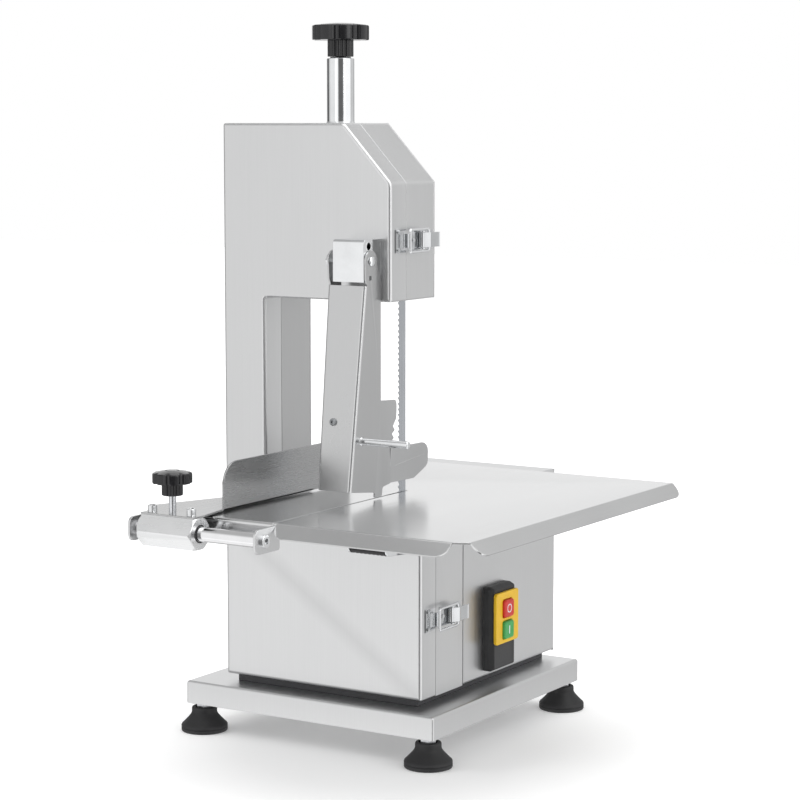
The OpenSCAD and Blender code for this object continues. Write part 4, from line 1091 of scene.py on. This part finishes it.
grip_low, grip_high = span("door_pull_grip")
_, y, z = middle(grip_low, grip_high)
length, grip_r = grip_high.x - grip_low.x, (grip_high.z - grip_low.z) / 2
profile = [(0, 0), (grip_r - 0.9, 0), (grip_r - 0.1, 0.7)]
for k in range(9):
    x = 2 + (length - 4) * k / 8
    profile += [(grip_r - 0.5, x - 0.5), (grip_r, x), (grip_r, x + 0.6)]
profile = [p for p in profile if p[1] < length - 0.8]
profile += [(grip_r - 0.1, length - 0.7), (grip_r - 0.9, length), (0, length)]
grip = lathe(frame_at(grip_low.x, y, z, "X"), profile, 48)
stand_in("pull_grip", grip, "door_pull_grip", slot="black_knob")

# ---- Hinges, latches ----

for name, body, y, rise in (
    ("hinge_screws_frame", "frame", FRAME_Y + 12.6, 7.4),
    ("hinge_screws_door", "lower_door", SEAM_Y - 12.6, 22.6),
):
    places = [(LEFT - 1.3, y, z + rise) for z in (92, 205)]
    screws(name, body, places, "X", -1, 2.6, 0.9, None, 0.5)

for name, side_x, z in (("upper", HEAD_X, 586), ("lower", RIGHT, 160)):
    x, half = side_x + 9, 12.5
    corners = [(x, -82, z - half), (x, -122, z - half), (x, -122, z + half), (x, -82, z + half)]
    spine = bend([(x, -82, z), *corners, (x, -82, z)], 2.6)[:-1]
    up = Vector((1, 0, 0))
    rings = []
    for i, here in enumerate(spine):
        ahead = (spine[(i + 1) % len(spine)] - spine[i - 1]).normalized()
        rings.append(circle(here, up, ahead.cross(up).normalized(), 1.6, 14))
    stand_in(name + "_bail_wire", hoop(rings), name + "_latch_bail")

# ---- Switch ----

house_low, house_high = span("switch_housing")
x0, x1 = house_low.x, house_high.x
outline = rectangle(house_low.y, house_low.z, house_high.y, house_high.z)
sections = [(0, x0), (0, x0 + 7.5), (0.25, x0 + 8.2), (2.6, x1 - 0.9), (3.6, x1)]
well = plate((x0 + 2, house_low.y + 5, 111), (x1 + 1, house_high.y - 5, 168), 3)
housing = carved(solid(levels(SIDE, outline, 5, sections)), well)
stand_in("switch_body", housing, "switch_housing", 0.5, 3, 40)

for name in ("stop_button", "start_button"):
    low, high = span(name)
    _, y, z = middle(low, high)
    x = high.x
    sections = [(0, low.x), (0, x - 2.2), (0.3, x - 1.2), (1.0, x - 0.5), (2.2, x - 0.15)]
    sections += [(3.4, x - 0.15), (4.6, x - 0.5), (8, x - 0.75)]
    cap = solid(levels(SIDE, rectangle(y - 11, z - 10.5, y + 11, z + 10.5), 3.5, sections))
    base = plate(low, (low.x + 2, high.y, high.z), 2)
    stand_in(name + "_cap", joined(cap, base), name)
    if name == "stop_button":
        profile = [(4.0, -0.5), (4.0, 0.12), (4.2, 0.2), (5.2, 0.2), (5.4, 0.12), (5.4, -0.5)]
        mark = lathe(frame_at(x - 0.75, y, z, "X"), profile + profile[:1], 48)
    else:
        mark = plate((x - 1.2, y - 0.9, z - 5), (x - 0.55, y + 0.9, z + 5), 0.7)
    piece(name + "_mark", mark, name, slot_of[name], material=MATERIALS["white_print"])

# ---- Light, floor and camera ----

scene = bpy.context.scene
world = bpy.data.worlds.new("studio")
scene.world = world
world.use_nodes = True
tree = world.node_tree
tree.nodes.clear()
coords = node_of(tree, "TexCoord").outputs["Generated"]
BASE_LIGHT = 0.47
# Direction, cosines where a soft light starts and is full, and its strength
LOBES = [
    ((-0.5, -0.85, 0.02), 0.6, 0.94, 0.49),
    ((-0.56, 0.82, 0.1), 0.80, 0.97, 0.5),
    ((0.5, -0.35, 0.79), 0.7, 0.96, 0.5),
    ((-0.5, -0.25, -0.83), 0.78, 0.97, 0.5),
    ((0.15, 0.84, 0.51), 0.86, 0.99, 0.16),
    ((-0.99, 0.1, 0.0), 0.93, 0.99, -0.35),
]
# Upright strips: degrees from the front towards the right, half width and strength
STRIPS = [(-1, 15, 0.5), (34, 24, -0.32), (97, 34, 0.75), (147, 22, 0.23)]
flat = math_of(tree, "MULTIPLY", coords, (1, 1, 0), node="VectorMath")
level = math_of(tree, "NORMALIZE", flat, node="VectorMath")
terms = [(coords, Vector(d).normalized(), a, b, k) for d, a, b, k in LOBES]
for degrees, width, strength in STRIPS:
    a = math.radians(degrees)
    edge = math.cos(math.radians(width))
    full = math.cos(math.radians(width * 0.55))
    terms.append((level, Vector((math.sin(a), -math.cos(a), 0)), edge, full, strength))
total = BASE_LIGHT
for source, direction, start, end, strength in terms:
    dot = node_of(tree, "VectorMath", "DOT_PRODUCT")
    feed(tree, dot.inputs[0], source)
    feed(tree, dot.inputs[1], direction)
    facing = remap(tree, dot.outputs["Value"], 0, strength, start, end, "SMOOTHSTEP")
    total = math_of(tree, "ADD", facing, total)
# The camera sees plain white
ray = node_of(tree, "LightPath").outputs["Is Camera Ray"]
seen = node_of(tree, "Mix", Factor=ray, A=total, B=1.0)
background = node_of(tree, "Background", Strength=seen.outputs[0], Color=(1, 1, 1, 1))
node_of(tree, "OutputWorld", Surface=background.outputs[0])


def panel(name, place, target, size, power):
    light = bpy.data.lights.new(name, "AREA")
    light.shape = "RECTANGLE"
    light.size, light.size_y = size
    light.energy = power
    made = bpy.data.objects.new(name, light)
    made.location = place
    made.rotation_mode = "QUATERNION"
    aim = Vector(target) - Vector(place)
    made.rotation_quaternion = aim.to_track_quat("-Z", "Y")
    scene.collection.objects.link(made)
    return made


key = panel("key", (-2.4, -1.6, 2.4), (0, 0, 0.35), (1.6, 1.6), 30)
key.visible_glossy = False
panel("fill", (2.6, -1.2, 1.5), (0, 0, 0.35), (0.7, 2.0), 9)
panel("top", (0.1, 0.3, 2.8), (0, 0, 0.3), (2.4, 2.4), 22)

HALF_FLOOR = 9.0
floor_mesh = bpy.data.meshes.new("floor")
corners = [(x, y, 0) for x, y in rectangle(-HALF_FLOOR, -HALF_FLOOR, HALF_FLOOR, HALF_FLOOR)]
floor_mesh.from_pydata(corners, [], [(0, 1, 2, 3)])
floor = bpy.data.objects.new("floor", floor_mesh)
scene.collection.objects.link(floor)
pale = bpy.data.materials.new("pale_floor")
pale.use_nodes = True
tree = pale.node_tree
shader = tree.nodes["Principled BSDF"]
fill(tree, shader, Base_Color=(0.92, 0.92, 0.92, 1), Roughness=0.9, Specular_IOR_Level=0.0)
# The floor glows a little away from the machine, so it fades to white and keeps the shadow; its
# weaker glow near the machine is painted shade round it
reach = node_of(tree, "VectorMath", "LENGTH")
feed(tree, reach.inputs[0], node_of(tree, "TexCoord").outputs["Object"])
glow = remap(tree, reach.outputs["Value"], 0.1, 0.45, 0.17, 0.55)
fill(tree, shader, Emission_Color=(1, 1, 1, 1), Emission_Strength=glow)
floor_mesh.materials.append(pale)
floor.visible_glossy = False

camera_data = bpy.data.cameras.new("camera")
camera_data.lens = 106.70
camera_data.sensor_width = 36
camera_data.clip_end = 60
camera_data.dof.use_dof = False
camera = bpy.data.objects.new("camera", camera_data)
camera.location = (1.42453, -2.27022, 0.71539)
around, down = math.radians(31.888), math.radians(6.630)
look = Vector(
    (-math.sin(around) * math.cos(down), math.cos(around) * math.cos(down), -math.sin(down))
)
camera.rotation_mode = "QUATERNION"
camera.rotation_quaternion = look.to_track_quat("-Z", "Y")
scene.collection.objects.link(camera)
scene.camera = camera
scene.view_settings.view_transform = "Standard"
